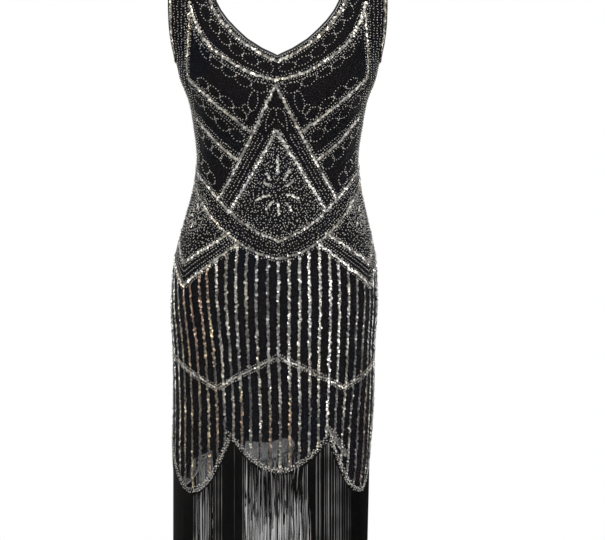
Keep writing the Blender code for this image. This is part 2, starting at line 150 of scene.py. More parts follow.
# %% A material's graph
class Shading:
    """A material and its nodes. node() makes any node: its settings first, then its sockets."""

    def __init__(self, name):
        self.material = bpy.data.materials.new(name)
        self.material.use_nodes = True
        self.tree = self.material.node_tree
        self.surface = self.tree.nodes["Principled BSDF"]

    def node(self, kind, settings, sockets):
        node = self.tree.nodes.new(kind)
        for key, setting in settings.items():
            if key == "stops":
                self.set_stops(node.color_ramp, setting)
            else:
                setattr(node, key, setting)
        for key, given in sockets.items():
            self.feed(node.inputs[key], given)
        return node

    def set_stops(self, ramp, stops):
        while len(ramp.elements) < len(stops):
            ramp.elements.new(1.0)
        for element, (place, colour) in zip(ramp.elements, stops, strict=True):
            element.position = place
            element.color = (*colour, 1.0)

    def feed(self, socket, given):
        if isinstance(given, Value):
            self.tree.links.new(given.socket, socket)
        elif isinstance(given, bpy.types.NodeSocket):
            self.tree.links.new(given, socket)
        elif isinstance(given, tuple) and len(given) == 3 and socket.type == "RGBA":
            socket.default_value = (*given, 1.0)
        else:
            socket.default_value = given

    def value(self, node, output=0):
        return Value(self, node.outputs[output])

    def surface_is(self, **sockets):
        for name, given in sockets.items():
            self.feed(self.surface.inputs[name.replace("_", " ")], given)
        return self.material

    def noise(self, scale, detail=2.0):
        spot = self.node("ShaderNodeTexCoord", {}, {}).outputs["Object"]
        sockets = {"Scale": scale, "Detail": detail, "Vector": spot}
        return self.value(self.node("ShaderNodeTexNoise", {}, sockets), "Fac")

    def along_cloth(self):
        """The cloth's own two directions in metres: round the body, and up it."""
        spot = self.node("ShaderNodeUVMap", {"uv_map": "cloth"}, {}).outputs[0]
        split = self.node("ShaderNodeSeparateXYZ", {}, {0: spot})
        return self.value(split, 0), self.value(split, 1)

    def mix(self, share, first, second):
        node = self.node("ShaderNodeMix", {"data_type": "RGBA"}, {0: share, 6: first, 7: second})
        return node.outputs[2]

    def ramp(self, share, stops):
        return self.node("ShaderNodeValToRGB", {"stops": stops}, {0: share}).outputs[0]

    def mottled(self, scale, dark, light):
        """A colour that drifts between two."""
        return self.ramp(self.noise(scale), ((0.3, dark), (0.7, light)))

    def attribute(self, name):
        return self.value(self.node("ShaderNodeAttribute", {"attribute_name": name}, {}), "Fac")

    def bump(self, height, distance):
        sockets = {"Height": height, "Distance": distance, "Strength": 1.0}
        return self.node("ShaderNodeBump", {}, sockets).outputs[0]


# %% World and floor
FLOOR_HEIGHT = -1.45
FLOOR_HALF_SIDE = 2.6
SEEN_WHITE = 1.0
REFLECTED_GREY = 0.16


def tidy_object(name, work, material, smooth=True):
    """An object at the origin from a bmesh."""
    mesh = bpy.data.meshes.new(name)
    work.to_mesh(mesh)
    work.free()
    mesh.materials.append(material)
    if smooth:
        mesh.shade_smooth()
    return put(name, mesh)


world = bpy.data.worlds.new("studio")
bpy.context.scene.world = world
world.use_nodes = True
sky = world.node_tree
background = sky.nodes["Background"].inputs
seen = sky.nodes.new("ShaderNodeLightPath")
strength = sky.nodes.new("ShaderNodeMapRange")
strength.inputs["To Min"].default_value = REFLECTED_GREY
strength.inputs["To Max"].default_value = SEEN_WHITE
sky.links.new(seen.outputs["Is Camera Ray"], strength.inputs["Value"])
background["Color"].default_value = (1.0, 1.0, 1.0, 1.0)
sky.links.new(strength.outputs["Result"], background["Strength"])

pale = Shading("pale floor")
tone = pale.mottled(1.5, (0.8, 0.8, 0.8), (0.84, 0.84, 0.84))
work = bmesh.new()
bmesh.ops.create_grid(work, x_segments=1, y_segments=1, size=FLOOR_HALF_SIDE)
bmesh.ops.translate(work, verts=work.verts, vec=(0.0, 0.0, FLOOR_HEIGHT))
floor = tidy_object("floor", work, pale.surface_is(Base_Color=tone, Roughness=0.8), smooth=False)
print("floor at", FLOOR_HEIGHT)

# %% [markdown]
# ## The body of the dress
# A dress cut for a body is one smooth surface. A column of sections gives it: each is a rounded box, flatter
# than an ellipse at the front and sides, and a smooth curve runs up through them. Two numbers then place
# anything on the dress. A column counts the skirt's sequin columns round the body from the centre front, where
# 14 is the side seam and 28 the centre back. A level runs up the cloth in metres from the hem to the shoulder.
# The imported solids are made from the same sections, so all that is placed here lies on them.

# %% Sections from the hem up
COLUMNS_ROUND = 56
SEAM_COLUMN = COLUMNS_ROUND // 4
BACK_COLUMN = COLUMNS_ROUND // 2

Profile = namedtuple("Profile", "height half_width front back squareness sway turn")
PROFILE = (
    (-0.93, 0.1548, 0.1, 0.102, 2.4, -0.015, 0.0158),  # lowest scallop
    (-0.85, 0.1597, 0.103, 0.106, 2.4, -0.0108, 0.0146),
    (-0.77, 0.162, 0.108, 0.113, 2.4, -0.0072, 0.0122),  # thigh
    (-0.69, 0.1628, 0.115, 0.124, 2.4, -0.0068, 0.0085),
    (-0.605, 0.1664, 0.122, 0.132, 2.4, -0.0056, 0.005),  # hip
    (-0.54, 0.1622, 0.121, 0.126, 2.35, -0.0042, 0.002),
    (-0.479, 0.1482, 0.113, 0.111, 2.3, -0.0026, 0.0),  # belly
    (-0.425, 0.1352, 0.102, 0.094, 2.2, -0.0012, 0.0),
    (-0.378, 0.1306, 0.096, 0.086, 2.2, -0.0006, 0.0),  # waist
    (-0.33, 0.1364, 0.1, 0.09, 2.2, 0.0, 0.0),
    (-0.285, 0.1452, 0.107, 0.0955, 2.3, 0.0, 0.0),  # bust
    (-0.25, 0.159, 0.108, 0.0985, 2.3, 0.0, 0.0),
    (-0.22, 0.1665, 0.1065, 0.1, 2.3, 0.0, 0.0),  # underarm
    (-0.186, 0.183, 0.101, 0.101, 2.35, 0.0, 0.0),
    (-0.148, 0.19, 0.094, 0.098, 2.4, 0.0, 0.0),  # chest
    (-0.105, 0.193, 0.082, 0.089, 2.4, 0.0, 0.0),
    (-0.066, 0.1945, 0.0675, 0.0745, 2.4, 0.0, 0.0),
    (-0.034, 0.195, 0.049, 0.055, 2.4, 0.0, 0.0),
    (-0.011, 0.195, 0.028, 0.031, 2.4, 0.0, 0.0),
    (0.0, 0.195, 0.0003, 0.0003, 2.4, 0.0, 0.0),  # shoulder seam
)
UNDERARM = -0.22
SHOULDER_SLOPE = 0.28  # fall of the strap outward from its inner end
SLOPE_FROM = -0.12

BUST_HEIGHT = -0.272
BUST_HALF_SPACING = 0.078
BUST_FULLNESS = 0.019
BUST_SPREAD_X = 0.046
BUST_SPREAD_Z = 0.05

print(len(PROFILE), "sections")

# %% Edges of the cloth
Edge = namedtuple("Edge", "height half_width")


def rows_of(kind, *rows):
    """A table whose numbers have names."""
    return tuple(kind(*row) for row in rows)


FRONT_NECK = rows_of(
    Edge,
    (-0.2235, 0.0), (-0.2112, 0.026), (-0.1955, 0.05), (-0.1795, 0.067), (-0.164, 0.0815), (-0.148, 0.093),
    (-0.132, 0.101), (-0.09, 0.11), (-0.045, 0.114), (0.0, 0.115),
)
BACK_NECK = rows_of(
    Edge,
    (-0.245, 0.0), (-0.23, 0.031), (-0.21, 0.058), (-0.185, 0.08), (-0.155, 0.096), (-0.125, 0.105), (-0.1, 0.109),
    (-0.06, 0.1125), (-0.03, 0.114), (0.0, 0.115),
)
ARMHOLE = rows_of(
    Edge,
    (-0.22, 0.1665), (-0.212, 0.1672), (-0.2, 0.1692), (-0.186, 0.1716), (-0.165, 0.1734), (-0.14, 0.1742),
    (-0.105, 0.174), (-0.07, 0.1725), (-0.035, 0.169), (0.0, 0.165),
)

SCALLOP_PEAK = -0.828  # height of the points between scallops
SCALLOP_ZONE_TOP = -0.795
Scallop = namedtuple("Scallop", "middle half drop")
SCALLOPS = rows_of(Scallop, (0.0, 5.0, 0.0535), (9.5, 4.5, 0.087))  # in one quarter of the hem

# Column and height of the slip's lower edge. It is uneven. It leaves the net sheer in two scallops and shows
# behind the fringe under the peaks.
LINING_HEM = (
    (-28.0, -0.838), (-18.0, -0.845), (-12.0, -0.888), (-9.8, -0.893), (-9.5, -0.862), (-8.6, -0.856),
    (-6.9, -0.845), (-6.7, -0.884), (-5.0, -0.88), (-3.9, -0.868), (-3.5, -0.83), (-1.4, -0.834), (0.2, -0.827),
    (1.4, -0.818), (1.7, -0.868), (5.0, -0.878), (7.5, -0.893), (9.5, -0.903), (12.0, -0.885), (18.0, -0.845),
    (28.0, -0.838),
)


def read_off(table, at, **ends):
    """What a table of pairs says at numbers, with straight lines between its rows."""
    return np.interp(at, *zip(*table, strict=True), **ends)


def edge_width(edges, height):
    """Half width of an edge at a height, and 0 below it."""
    return read_off(edges, height, left=0.0)


def slip_hem(column):
    """Height of the slip's lower edge at columns."""
    return read_off(LINING_HEM, column)


def wrapped(column):
    """Columns counted from the centre front, whichever way is shorter."""
    return (column + BACK_COLUMN) % COLUMNS_ROUND - BACK_COLUMN


def scallop_edge(scallop, off):
    """Height of a scallop's edge, off columns from its middle."""
    return SCALLOP_PEAK - scallop.drop * (1 - (off / scallop.half) ** 2)


def net_hem(column):
    """Height of the scalloped edge at columns."""
    off = np.abs(wrapped(column))
    quarter = np.minimum(off, BACK_COLUMN - off)
    height = np.full_like(quarter, SCALLOP_PEAK, dtype=float)
    for scallop in SCALLOPS:
        away = quarter - scallop.middle
        height = np.where(np.abs(away) <= scallop.half, scallop_edge(scallop, away), height)
    return height


print("scallops reach", round(float(net_hem(np.array([9.5]))[0]), 4))

# %% [markdown]
# ## Soft folds
# Beaded net is heavy and hangs almost straight. It pulls softly from the bust to the waist, sinks a little
# between the hip and the thigh, and the hem sways between the scallops. Each fold is a long shallow trough or
# ridge: a bell shape across and along. Adding them to the body before anything is placed moves the beads and
# the slip with the cloth.

# %% Folds
Fold = namedtuple("Fold", "column height across along lean depth")
FOLDS = rows_of(  # across in columns, the rest in metres. lean is columns for each metre up
    Fold,
    (-3.4, -0.365, 0.9, 0.05, 18.0, -0.0016), (3.1, -0.352, 0.8, 0.058, -20.0, -0.0014),
    (-8.6, -0.395, 1.1, 0.036, 34.0, -0.0019), (8.9, -0.402, 1.2, 0.041, -30.0, -0.0017),
    (-11.8, -0.33, 0.9, 0.04, -26.0, -0.0014), (11.5, -0.322, 0.8, 0.046, 22.0, -0.0015),
    (-6.2, -0.64, 1.1, 0.12, 3.0, -0.0022), (-1.4, -0.725, 0.9, 0.11, -2.0, -0.0018),
    (2.7, -0.672, 1.0, 0.13, 1.5, -0.0021), (7.4, -0.7, 1.2, 0.105, -3.0, -0.0024),
    (11.2, -0.655, 0.9, 0.125, 2.0, -0.0016), (-10.6, -0.76, 1.0, 0.1, 2.5, -0.0019),
    (-4.0, -0.85, 0.8, 0.05, 0.0, 0.0022), (4.4, -0.86, 0.9, 0.055, 1.0, 0.002),
    (9.4, -0.875, 1.0, 0.06, 0.0, 0.0026), (-9.1, -0.88, 1.1, 0.052, 0.0, 0.0023),
    (19.0, -0.41, 1.3, 0.06, -24.0, -0.0018), (-19.6, -0.398, 1.2, 0.052, 26.0, -0.0019),
    (24.6, -0.375, 1.0, 0.07, 12.0, -0.0015), (-25.1, -0.385, 0.9, 0.064, -14.0, -0.0016),
    (17.2, -0.69, 1.1, 0.13, 2.0, -0.0021), (-17.8, -0.72, 1.2, 0.115, -2.5, -0.0023),
    (22.3, -0.7, 1.0, 0.14, -1.0, -0.0019), (-22.9, -0.665, 1.1, 0.12, 1.0, -0.002),
    (26.4, -0.745, 0.9, 0.11, 0.0, -0.0017), (18.6, -0.87, 1.0, 0.058, 0.0, 0.0024),
    (-18.3, -0.872, 1.1, 0.056, 0.0, 0.0022),
)


def bell(across, along):
    """A soft hill that is 1 at its middle."""
    return np.exp(-(across**2) / 2 - along**2 / 2)


def fold_depth(column, height):
    """How far the folds push the cloth out, at arrays of columns and heights."""
    depth = np.zeros(np.broadcast(column, height).shape)
    for fold in FOLDS:
        off = wrapped(column - fold.column - fold.lean * (height - fold.height))
        depth += fold.depth * bell(off / fold.across, (height - fold.height) / fold.along)
    return depth


print(len(FOLDS), "folds")

# %% The surface as a fine grid
QUARTER_SAMPLES = 361
SURFACE_ROWS = 760
SPOTS_PER_COLUMN = 6
ROUNDING = 1e-12  # puts column 0 on the wearer's left


def unit(vectors):
    return vectors / np.linalg.norm(vectors, axis=-1, keepdims=True)


def summed(steps):
    """How far along a line each of its points is, from the lengths of its steps."""
    return np.concatenate([[0.0], np.cumsum(steps)])


def hermite(knots, values, at):
    """Smooth curve through values at knots, for each column of values."""
    slopes = np.gradient(values, knots, axis=0)
    slopes[-1] = (values[-1] - values[-2]) / (knots[-1] - knots[-2])
    i = int(np.clip(np.searchsorted(knots, at) - 1, 0, len(knots) - 2))
    width = knots[i + 1] - knots[i]
    u = (at - knots[i]) / width
    return (
        (2 * u**3 - 3 * u**2 + 1) * values[i]
        + (u**3 - 2 * u**2 + u) * width * slopes[i]
        + (3 * u**2 - 2 * u**3) * values[i + 1]
        + (u**3 - u**2) * width * slopes[i + 1]
    )


PROFILE_VALUES = np.array(PROFILE)
PROFILE_LEVELS = summed(np.hypot(np.diff(PROFILE_VALUES[:, 0]), np.diff(PROFILE_VALUES[:, 2])))
TOP_LEVEL = float(PROFILE_LEVELS[-1])
LEVELS = np.linspace(0.0, TOP_LEVEL, SURFACE_ROWS)
ROWS = [Profile(*hermite(PROFILE_LEVELS, PROFILE_VALUES, level)) for level in LEVELS]
HEIGHTS = np.array([row.height for row in ROWS])
COLUMNS = np.linspace(-BACK_COLUMN, BACK_COLUMN, COLUMNS_ROUND * SPOTS_PER_COLUMN + 1)


def bust(x, height):
    """How far the front stands out at the bust."""
    rise = math.exp(-((height - BUST_HEIGHT) ** 2) / (2 * BUST_SPREAD_Z**2))
    sides = sum(np.exp(-((x - side * BUST_HALF_SPACING) ** 2) / (2 * BUST_SPREAD_X**2)) for side in (1, -1))
    return BUST_FULLNESS * rise * sides


def section_line(row):
    """Points of one section at every column."""
    angle = np.linspace(0.0, math.pi / 2, QUARTER_SAMPLES)
    power = 2.0 / row.squareness
    x = row.half_width * np.sin(angle) ** power
    along = np.clip(np.cos(angle), 0.0, 1.0) ** power
    front = -(row.front + bust(x, row.height)) * along
    back = row.back * along
    front_length, back_length = (summed(np.hypot(np.diff(x), np.diff(y))) for y in (front, back))
    off = np.abs(COLUMNS)
    arc = np.minimum(off, SEAM_COLUMN) / SEAM_COLUMN * front_length[-1]
    arc += np.maximum(off - SEAM_COLUMN, 0.0) / SEAM_COLUMN * back_length[-1]
    half_girth = front_length[-1] + back_length[-1]
    arc = np.copysign(arc, COLUMNS) + row.turn
    arc = (arc + half_girth) % (2 * half_girth) - half_girth
    reach = np.abs(arc)
    ahead = reach <= front_length[-1]
    from_back = half_girth - reach
    wide = np.where(ahead, np.interp(reach, front_length, x), np.interp(from_back, back_length, x))
    deep = np.where(ahead, np.interp(reach, front_length, front), np.interp(from_back, back_length, back))
    fade = np.clip((row.height - SLOPE_FROM) / -SLOPE_FROM, 0.0, 1.0)
    slope = SHOULDER_SLOPE * fade * fade * (3 - 2 * fade)
    height = row.height - slope * (wide - FRONT_NECK[-1].half_width)
    return np.stack([row.sway + np.sign(arc + ROUNDING) * wide, deep, height], axis=1)


def outward(surface):
    """Unit normals of a grid of points."""
    across = np.gradient(surface, axis=1)
    across[:, 0] = across[:, -1] = surface[:, 1] - surface[:, -2]
    up = np.gradient(surface, axis=0)
    return unit(np.cross(across, up))


SURFACE = np.array([section_line(row) for row in ROWS])
SURFACE += outward(SURFACE) * fold_depth(COLUMNS[None, :], HEIGHTS[:, None])[:, :, None]
NORMALS = outward(SURFACE)
ACROSS = np.gradient(SURFACE, COLUMNS, axis=1)
UPWARD = np.gradient(SURFACE, LEVELS, axis=0)
print("surface grid", *SURFACE.shape[:2])


# %% [markdown]
# Everything is now placed by looking this grid up. `place` reads points and normals, `slide` moves a spot over
# the cloth by millimetres, and `spot` finds the place on the front that is seen at a given width and height.


# %% Looking up places
def look_up(grid, column, level):
    """Values of a grid at arrays of columns and levels, blended from the four nearest."""
    c = (np.asarray(column, float) + BACK_COLUMN) % COLUMNS_ROUND * SPOTS_PER_COLUMN
    r = np.clip(np.asarray(level, float) / TOP_LEVEL, 0.0, 1.0) * (SURFACE_ROWS - 1)
    c0 = np.clip(np.floor(c).astype(int), 0, len(COLUMNS) - 2)
    r0 = np.clip(np.floor(r).astype(int), 0, SURFACE_ROWS - 2)
    fc, fr = (c - c0)[..., None], (r - r0)[..., None]
    low = grid[r0, c0] * (1 - fc) + grid[r0, c0 + 1] * fc
    high = grid[r0 + 1, c0] * (1 - fc) + grid[r0 + 1, c0 + 1] * fc
    return low * (1 - fr) + high * fr


def place(column, level):
    """Points of the cloth's outer face, and the way out of it."""
    return look_up(SURFACE, column, level), unit(look_up(NORMALS, column, level))


def slide(column, level, move):
    """Columns and levels reached by moving spots over the cloth by vectors."""
    across, up = look_up(ACROSS, column, level), look_up(UPWARD, column, level)
    aa, au, uu = (across * across).sum(-1), (across * up).sum(-1), (up * up).sum(-1)
    ma, mu = (move * across).sum(-1), (move * up).sum(-1)
    whole = aa * uu - au * au
    return column + (ma * uu - mu * au) / whole, level + (mu * aa - ma * au) / whole


def level_at(height):
    return np.interp(height, HEIGHTS, LEVELS)


def height_at(level):
    return np.interp(level, LEVELS, HEIGHTS)


def row_of(level):
    """The grid's row that is nearest to a level."""
    return int(round(float(level) / TOP_LEVEL * (SURFACE_ROWS - 1)))


MIDDLE = BACK_COLUMN * SPOTS_PER_COLUMN
QUARTER = SEAM_COLUMN * SPOTS_PER_COLUMN
FRONT_SPOTS = slice(MIDDLE - QUARTER, MIDDLE + QUARTER + 1)
SPOT_TRIES = 4


def spot(x, z):
    """Column and level of the front's point that is seen at x and z."""
    height = z
    for _ in range(SPOT_TRIES):
        level = level_at(height)
        line = SURFACE[row_of(level), FRONT_SPOTS]
        column = np.interp(x, line[:, 0], COLUMNS[FRONT_SPOTS])
        height += z - np.interp(column, COLUMNS[FRONT_SPOTS], line[:, 2])
    return float(column), float(level)


def column_of_width(level, half_width, back):
    """Column, on the +X side, where the dress is half_width wide."""
    start = MIDDLE + QUARTER * back
    x, columns = SURFACE[row_of(level), start : start + QUARTER + 1, 0], COLUMNS[start : start + QUARTER + 1]
    step = -1 if back else 1
    return float(np.interp(half_width, x[::step], columns[::step]))


print("a spot on the bust:", [round(v, 3) for v in spot(0.078, -0.272)])

# %% [markdown]
# ## Net and slip
# A maker cuts a front and a back from net, and the same again from lining for the slip. Each half of a panel is
# one grid of squares: across from the armhole or side seam to the neck or centre, and up from the hem to the
# shoulder. Bending that grid onto the dress gives the cut edges their exact curves with no trimming. The two
# halves are merged down the centre, and Solidify gives the cloth its thickness.

# %% Materials of the net and the slip
NET_PITCH = 0.00125
NET_OPEN = 0.48  # share of the net that is hole
THREAD_PASS = 0.34  # light that one face of the net lets through where its threads are
HOLE_PASS = 0.4  # and what a hole adds


def net_material():
    """Fine black net. Its holes show only where no slip lies behind."""
    s = Shading("black net")
    u, v = s.along_cloth()
    turn = math.pi / NET_PITCH
    threads = (u * turn).wave().size().high((v * turn).wave().size())
    hole = threads < math.sin(math.pi / 2 * math.sqrt(NET_OPEN))
    tint = s.ramp(
        s.noise(9.0, 3.0),
        ((0.35, (0.0078, 0.009, 0.015)), (0.5, (0.011, 0.0095, 0.0108)), (0.65, (0.0078, 0.0104, 0.0134))),
    )
    grain = s.noise(900.0, 1.0)
    ribs = (u * 2990.0 + 2.0 * s.noise(120.0)).wave() + (u * 1850.0).wave()
    return s.surface_is(
        Base_Color=tint,
        Roughness=0.62 + 0.2 * s.noise(60.0),
        Normal=s.bump(threads * 0.6 + grain * 0.4, 0.0004),
        Alpha=(1 - THREAD_PASS) - HOLE_PASS * hole - 0.035 * ribs,
        Specular_IOR_Level=0.08,
    )


def slip_material():
    """Smooth black lining with a soft satin face."""
    s = Shading("black slip")
    u, v = s.along_cloth()
    weave = (u * 9000.0).wave() * (v * 7000.0).wave()
    tint = s.mottled(12.0, (0.004, 0.004, 0.007), (0.007, 0.006, 0.006))
    return s.surface_is(
        Base_Color=tint,
        Roughness=0.5 + 0.2 * s.noise(25.0),
        Normal=s.bump(weave * 0.3 + s.noise(30.0), 0.0006),
        Specular_IOR_Level=0.25,
    )


NET = net_material()
SLIP = slip_material()
print("materials", NET.name, "and", SLIP.name)


# %% Panels
NET_THICKNESS = 0.0002
SLIP_THICKNESS = 0.0005
SLIP_DEPTH = 0.0016  # of the slip's outer face below the net's
MERGE = 0.00002

Cloth = namedtuple("Cloth", "across hem_rows skirt_rows tip_rows strap_rows")
NET_CLOTH = Cloth(42, 12, 112, 6, 62)
SLIP_CLOTH = Cloth(28, 8, 60, 4, 34)


def half_panel(work, side, back, cloth, hem, depth):
    """Half of a panel as a grid bent onto the dress. Returns each vertex's column and level."""
    neck = BACK_NECK if back else FRONT_NECK
    stops = [level_at(h) for h in (SCALLOP_ZONE_TOP, neck[0].height, UNDERARM)] + [TOP_LEVEL]
    counts = (cloth.skirt_rows, cloth.tip_rows, cloth.strap_rows)
    rows = [np.linspace(a, b, n + 1)[1:] for a, b, n in zip(stops[:-1], stops[1:], counts, strict=True)]
    rows = np.concatenate([[stops[0]] * (cloth.hem_rows + 1), *rows])
    made = bmesh.ops.create_grid(work, x_segments=cloth.across, y_segments=len(rows) - 1, size=0.5)["verts"]
    flat = np.array([v.co for v in made]) + 0.5
    index = np.rint(flat[:, 1] * (len(rows) - 1)).astype(int)
    column, level = np.zeros(len(flat)), rows[index]
    for i in np.unique(index):
        here = index == i
        height = float(height_at(rows[i]))
        inner, outer = float(BACK_COLUMN if back else 0), float(SEAM_COLUMN)
        if height > neck[0].height:
            inner = column_of_width(rows[i], edge_width(neck, height), back)
        if height > UNDERARM:
            outer = column_of_width(rows[i], edge_width(ARMHOLE, height), back)
        column[here] = side * (outer + (inner - outer) * flat[here, 0])
        if i < cloth.hem_rows:
            edge = hem(column[here])
            level[here] = level_at(edge + i / cloth.hem_rows * (SCALLOP_ZONE_TOP - edge))
    points, out = place(column, level)
    for vert, point in zip(made, points - out * depth, strict=True):
        vert.co = point
    return dict(zip(made, zip(column, level, strict=True), strict=True))


print("net cloth has", NET_CLOTH.across, "squares across half a panel")


# %% Sewing halves together
ROUND_PITCH = 0.0172  # metres of cloth in a column, for the weave


def close_up(work):
    """Merges the doubles of a bmesh and turns its faces one way."""
    bmesh.ops.remove_doubles(work, verts=work.verts, dist=MERGE)
    bmesh.ops.recalc_face_normals(work, faces=work.faces)


def make_panel(name, back, cloth, hem, depth, thickness, material):
    work = bmesh.new()
    spots = {}
    for side in (-1, 1):
        spots.update(half_panel(work, side, back, cloth, hem, depth))
    uv = work.loops.layers.uv.new("cloth")
    for face in work.faces:
        for loop in face.loops:
            column, level = spots[loop.vert]
            loop[uv].uv = (column * ROUND_PITCH, level)
    close_up(work)
    outward_y = 1.0 if back else -1.0
    proudest = max(work.faces, key=lambda face: face.calc_center_median().y * outward_y)
    if proudest.normal.y * outward_y < 0:
        bmesh.ops.reverse_faces(work, faces=work.faces)
    area = sum(face.calc_area() for face in work.faces)
    obj = tidy_object(name, work, material)
    wall = obj.modifiers.new("thickness", "SOLIDIFY")
    wall.thickness = thickness
    wall.offset = -1.0
    print(name, len(obj.data.polygons), "squares,", round(area, 3), "square metres")
    return obj


OF_NET = (NET_CLOTH, net_hem, 0.0, NET_THICKNESS, NET)
OF_LINING = (SLIP_CLOTH, slip_hem, SLIP_DEPTH, SLIP_THICKNESS, SLIP)
net_front, net_back = make_panel("net_front", False, *OF_NET), make_panel("net_back", True, *OF_NET)
slip_front, slip_back = make_panel("slip_front", False, *OF_LINING), make_panel("slip_back", True, *OF_LINING)

# %% [markdown]
# ## Bound edges
# A strip of satin cut on the bias wraps the raw edge of the neck and of each armhole. It is a soft roll, about
# four millimetres wide. A small closed outline is carried round the edge on a grid of squares: one way round
# the roll, the other along the edge, and both ends meet.

# %% Binding
ROLL_AROUND = 10
ROLL_WIDTH = 0.0016  # half of the roll, past the cloth's edge
ROLL_HEIGHT = 0.0019
ROLL_CENTRE = 0.0021  # past the edge
ROLL_SINK = 0.0013
EDGE_STEP = 0.004


def binding_material():
    s = Shading("satin binding")
    u, v = s.along_cloth()
    twill = ((u + v) * 5200.0).wave()
    stitch = (u * 2100.0).wave() * (v * 1500.0).wave()
    tint = s.mottled(40.0, (0.008, 0.008, 0.009), (0.014, 0.013, 0.013))
    return s.surface_is(
        Base_Color=tint,
        Roughness=0.38 + 0.15 * s.noise(120.0),
        Normal=s.bump(twill * 0.4 + stitch * 0.5, 0.0003),
    )


def edge_spots(edges, back, side, lowest=None):
    """(column, level) up an edge, in small even steps."""
    foot = level_at(edges[0].height if lowest is None else lowest)
    levels = np.linspace(foot, TOP_LEVEL, int((TOP_LEVEL - foot) / EDGE_STEP) + 2)
    heights = height_at(levels)
    columns = [column_of_width(l, edge_width(edges, h), back) for l, h in zip(levels, heights, strict=True)]
    return side * np.array(columns), levels


def edge_loop(front_edges, back_edges, side):
    """Points and normals up the front edge and down the back one."""
    front, normals = place(*edge_spots(front_edges, False, side))
    back, back_normals = place(*edge_spots(back_edges, True, side))
    points = np.vstack([front[:-1], (front[-1:] + back[-1:]) / 2, back[:-1][::-1]])
    normals = np.vstack([normals[:-1], unit(normals[-1:] + back_normals[-1:]), back_normals[:-1][::-1]])
    return points, normals


def make_binding(name, points, normals):
    """A soft roll round a closed edge, whose cloth lies on the left as the points go."""
    ahead = unit(np.roll(points, -1, axis=0) - np.roll(points, 1, axis=0))
    off = unit(np.cross(ahead, normals))
    count = len(points)
    work = bmesh.new()
    bmesh.ops.create_grid(work, x_segments=ROLL_AROUND, y_segments=count, size=0.5)
    uv = work.loops.layers.uv.new("cloth")
    for vert in work.verts:
        angle = (vert.co.x + 0.5) * 2 * math.pi
        along = vert.co.y + 0.5
        i = int(round(along * count)) % count
        wide = ROLL_CENTRE + ROLL_WIDTH * math.cos(angle)
        high = -ROLL_SINK + ROLL_HEIGHT * math.sin(angle)
        for loop in vert.link_loops:
            loop[uv].uv = (along * count * EDGE_STEP, angle * ROLL_HEIGHT)
        vert.co = points[i] + off[i] * wide + normals[i] * high
    close_up(work)
    obj = tidy_object(name, work, BINDING)
    print(name, len(obj.data.polygons), "squares round", count, "steps")
    return obj


BINDING = binding_material()
left, right = (edge_loop(FRONT_NECK, BACK_NECK, side) for side in (1, -1))
ring = (np.vstack([one[:-1], other[::-1][:-1]])[::-1] for one, other in zip(left, right, strict=True))
neck_edge = make_binding("neck_edge", *ring)
left, right = (edge_loop(ARMHOLE, ARMHOLE, side) for side in (1, -1))
arm_left = make_binding("armhole_edge_left", *(part[:-1] for part in left))
arm_right = make_binding("armhole_edge_right", *(part[:0:-1] for part in right))

# %% [markdown]
# ## Drawing lines on the cloth
# The beadwork is a plan of lines, drawn once for the wearer's left half of the front and mirrored to the other
# half and to the back. A line is a list of spots on the front, each a width from the centre and a height. It
# becomes a track of columns and levels, and a walk along the track gives even places to sew at, with the
# direction of the line at each.

# %% The plan's centre
# Height and width of the line down the front that the beadwork is centred on. It strays from column 0, because
# the hips are swung a little to one side.
CENTRE_LINE = (
    (-0.9, 0.0035), (-0.78, 0.0045), (-0.7, 0.0022), (-0.56, 0.0014), (-0.54, 0.0026), (-0.44, 0.002),
    (-0.34, -0.0016), (-0.27, -0.0024), (-0.22, -0.0004), (0.0, 0.0),
)


def centre_at(height):
    return read_off(CENTRE_LINE, height)


def strayed():
    """How many columns the centre line is from column 0, at every level."""
    rows = SURFACE[:, FRONT_SPOTS]
    columns = COLUMNS[FRONT_SPOTS]
    return np.array([np.interp(centre_at(h), line[:, 0], columns) for h, line in zip(HEIGHTS, rows, strict=True)])


STRAYED = strayed()


Pull = namedtuple("Pull", "side columns starts most_at bend top foot")
# Each draws one side's columns in. It starts at a column and is strongest at the next, and below its foot.
PULLS = (
    Pull(-1, 0.66, 0.0, 9.0, 2, -0.5, -0.7),
    Pull(1, 0.6, 2.5, 9.0, 1, -0.69, -0.8),
)
PULL_ENDS = 20.0
PULL_FADE = 8.0  # columns over which it ends, on the back
BACK_TURN = 0.22  # columns that the back is turned by, below the last pull's foot


def smooth_step(share):
    share = np.clip(share, 0.0, 1.0)
    return share * share * (3 - 2 * share)


def pulled(column, level):
    """How far the skirt is drawn towards the centre front, in columns."""
    moved = np.zeros(np.broadcast(column, level).shape)
    for pull in PULLS:
        out = column * pull.side
        off = np.clip((out - pull.starts) / (pull.most_at - pull.starts), 0.0, 1.0)
        off = off * np.clip((PULL_ENDS - out) / PULL_FADE, 0.0, 1.0)
        down = smooth_step((pull.top - height_at(level)) / (pull.top - pull.foot))
        moved = moved - pull.side * pull.columns * smooth_step(off) ** pull.bend * down
    return moved + BACK_TURN * smooth_step(np.abs(column) / SEAM_COLUMN * 2 - 2) * down


def centre_move(column, level):
    """How far the plan moves with its centre line. The side seams stay."""
    return np.interp(level, LEVELS, STRAYED) * np.clip(1 - np.abs(column) / SEAM_COLUMN, 0.0, 1.0)


def settled(track):
    """A track of the plan's columns in the dress's own."""
    column, level = track[:, 0], track[:, 1]
    return np.stack([column + (centre_move(column, level) + pulled(column, level)), level], axis=1)


print("centre strays by at most", round(float(np.abs(STRAYED).max()), 2), "columns")

# %% Tracks
TRACK_STEP = 0.004
BACK_DROP = 0.0215  # how much lower the back's neck dips, and the plan with it
BACK_DROP_ENDS = -0.45

Sewn = namedtuple("Sewn", "column level along")


def run_along(points):
    """How far along a line each of its points is."""
    return summed(np.linalg.norm(np.diff(points, axis=0), axis=1))


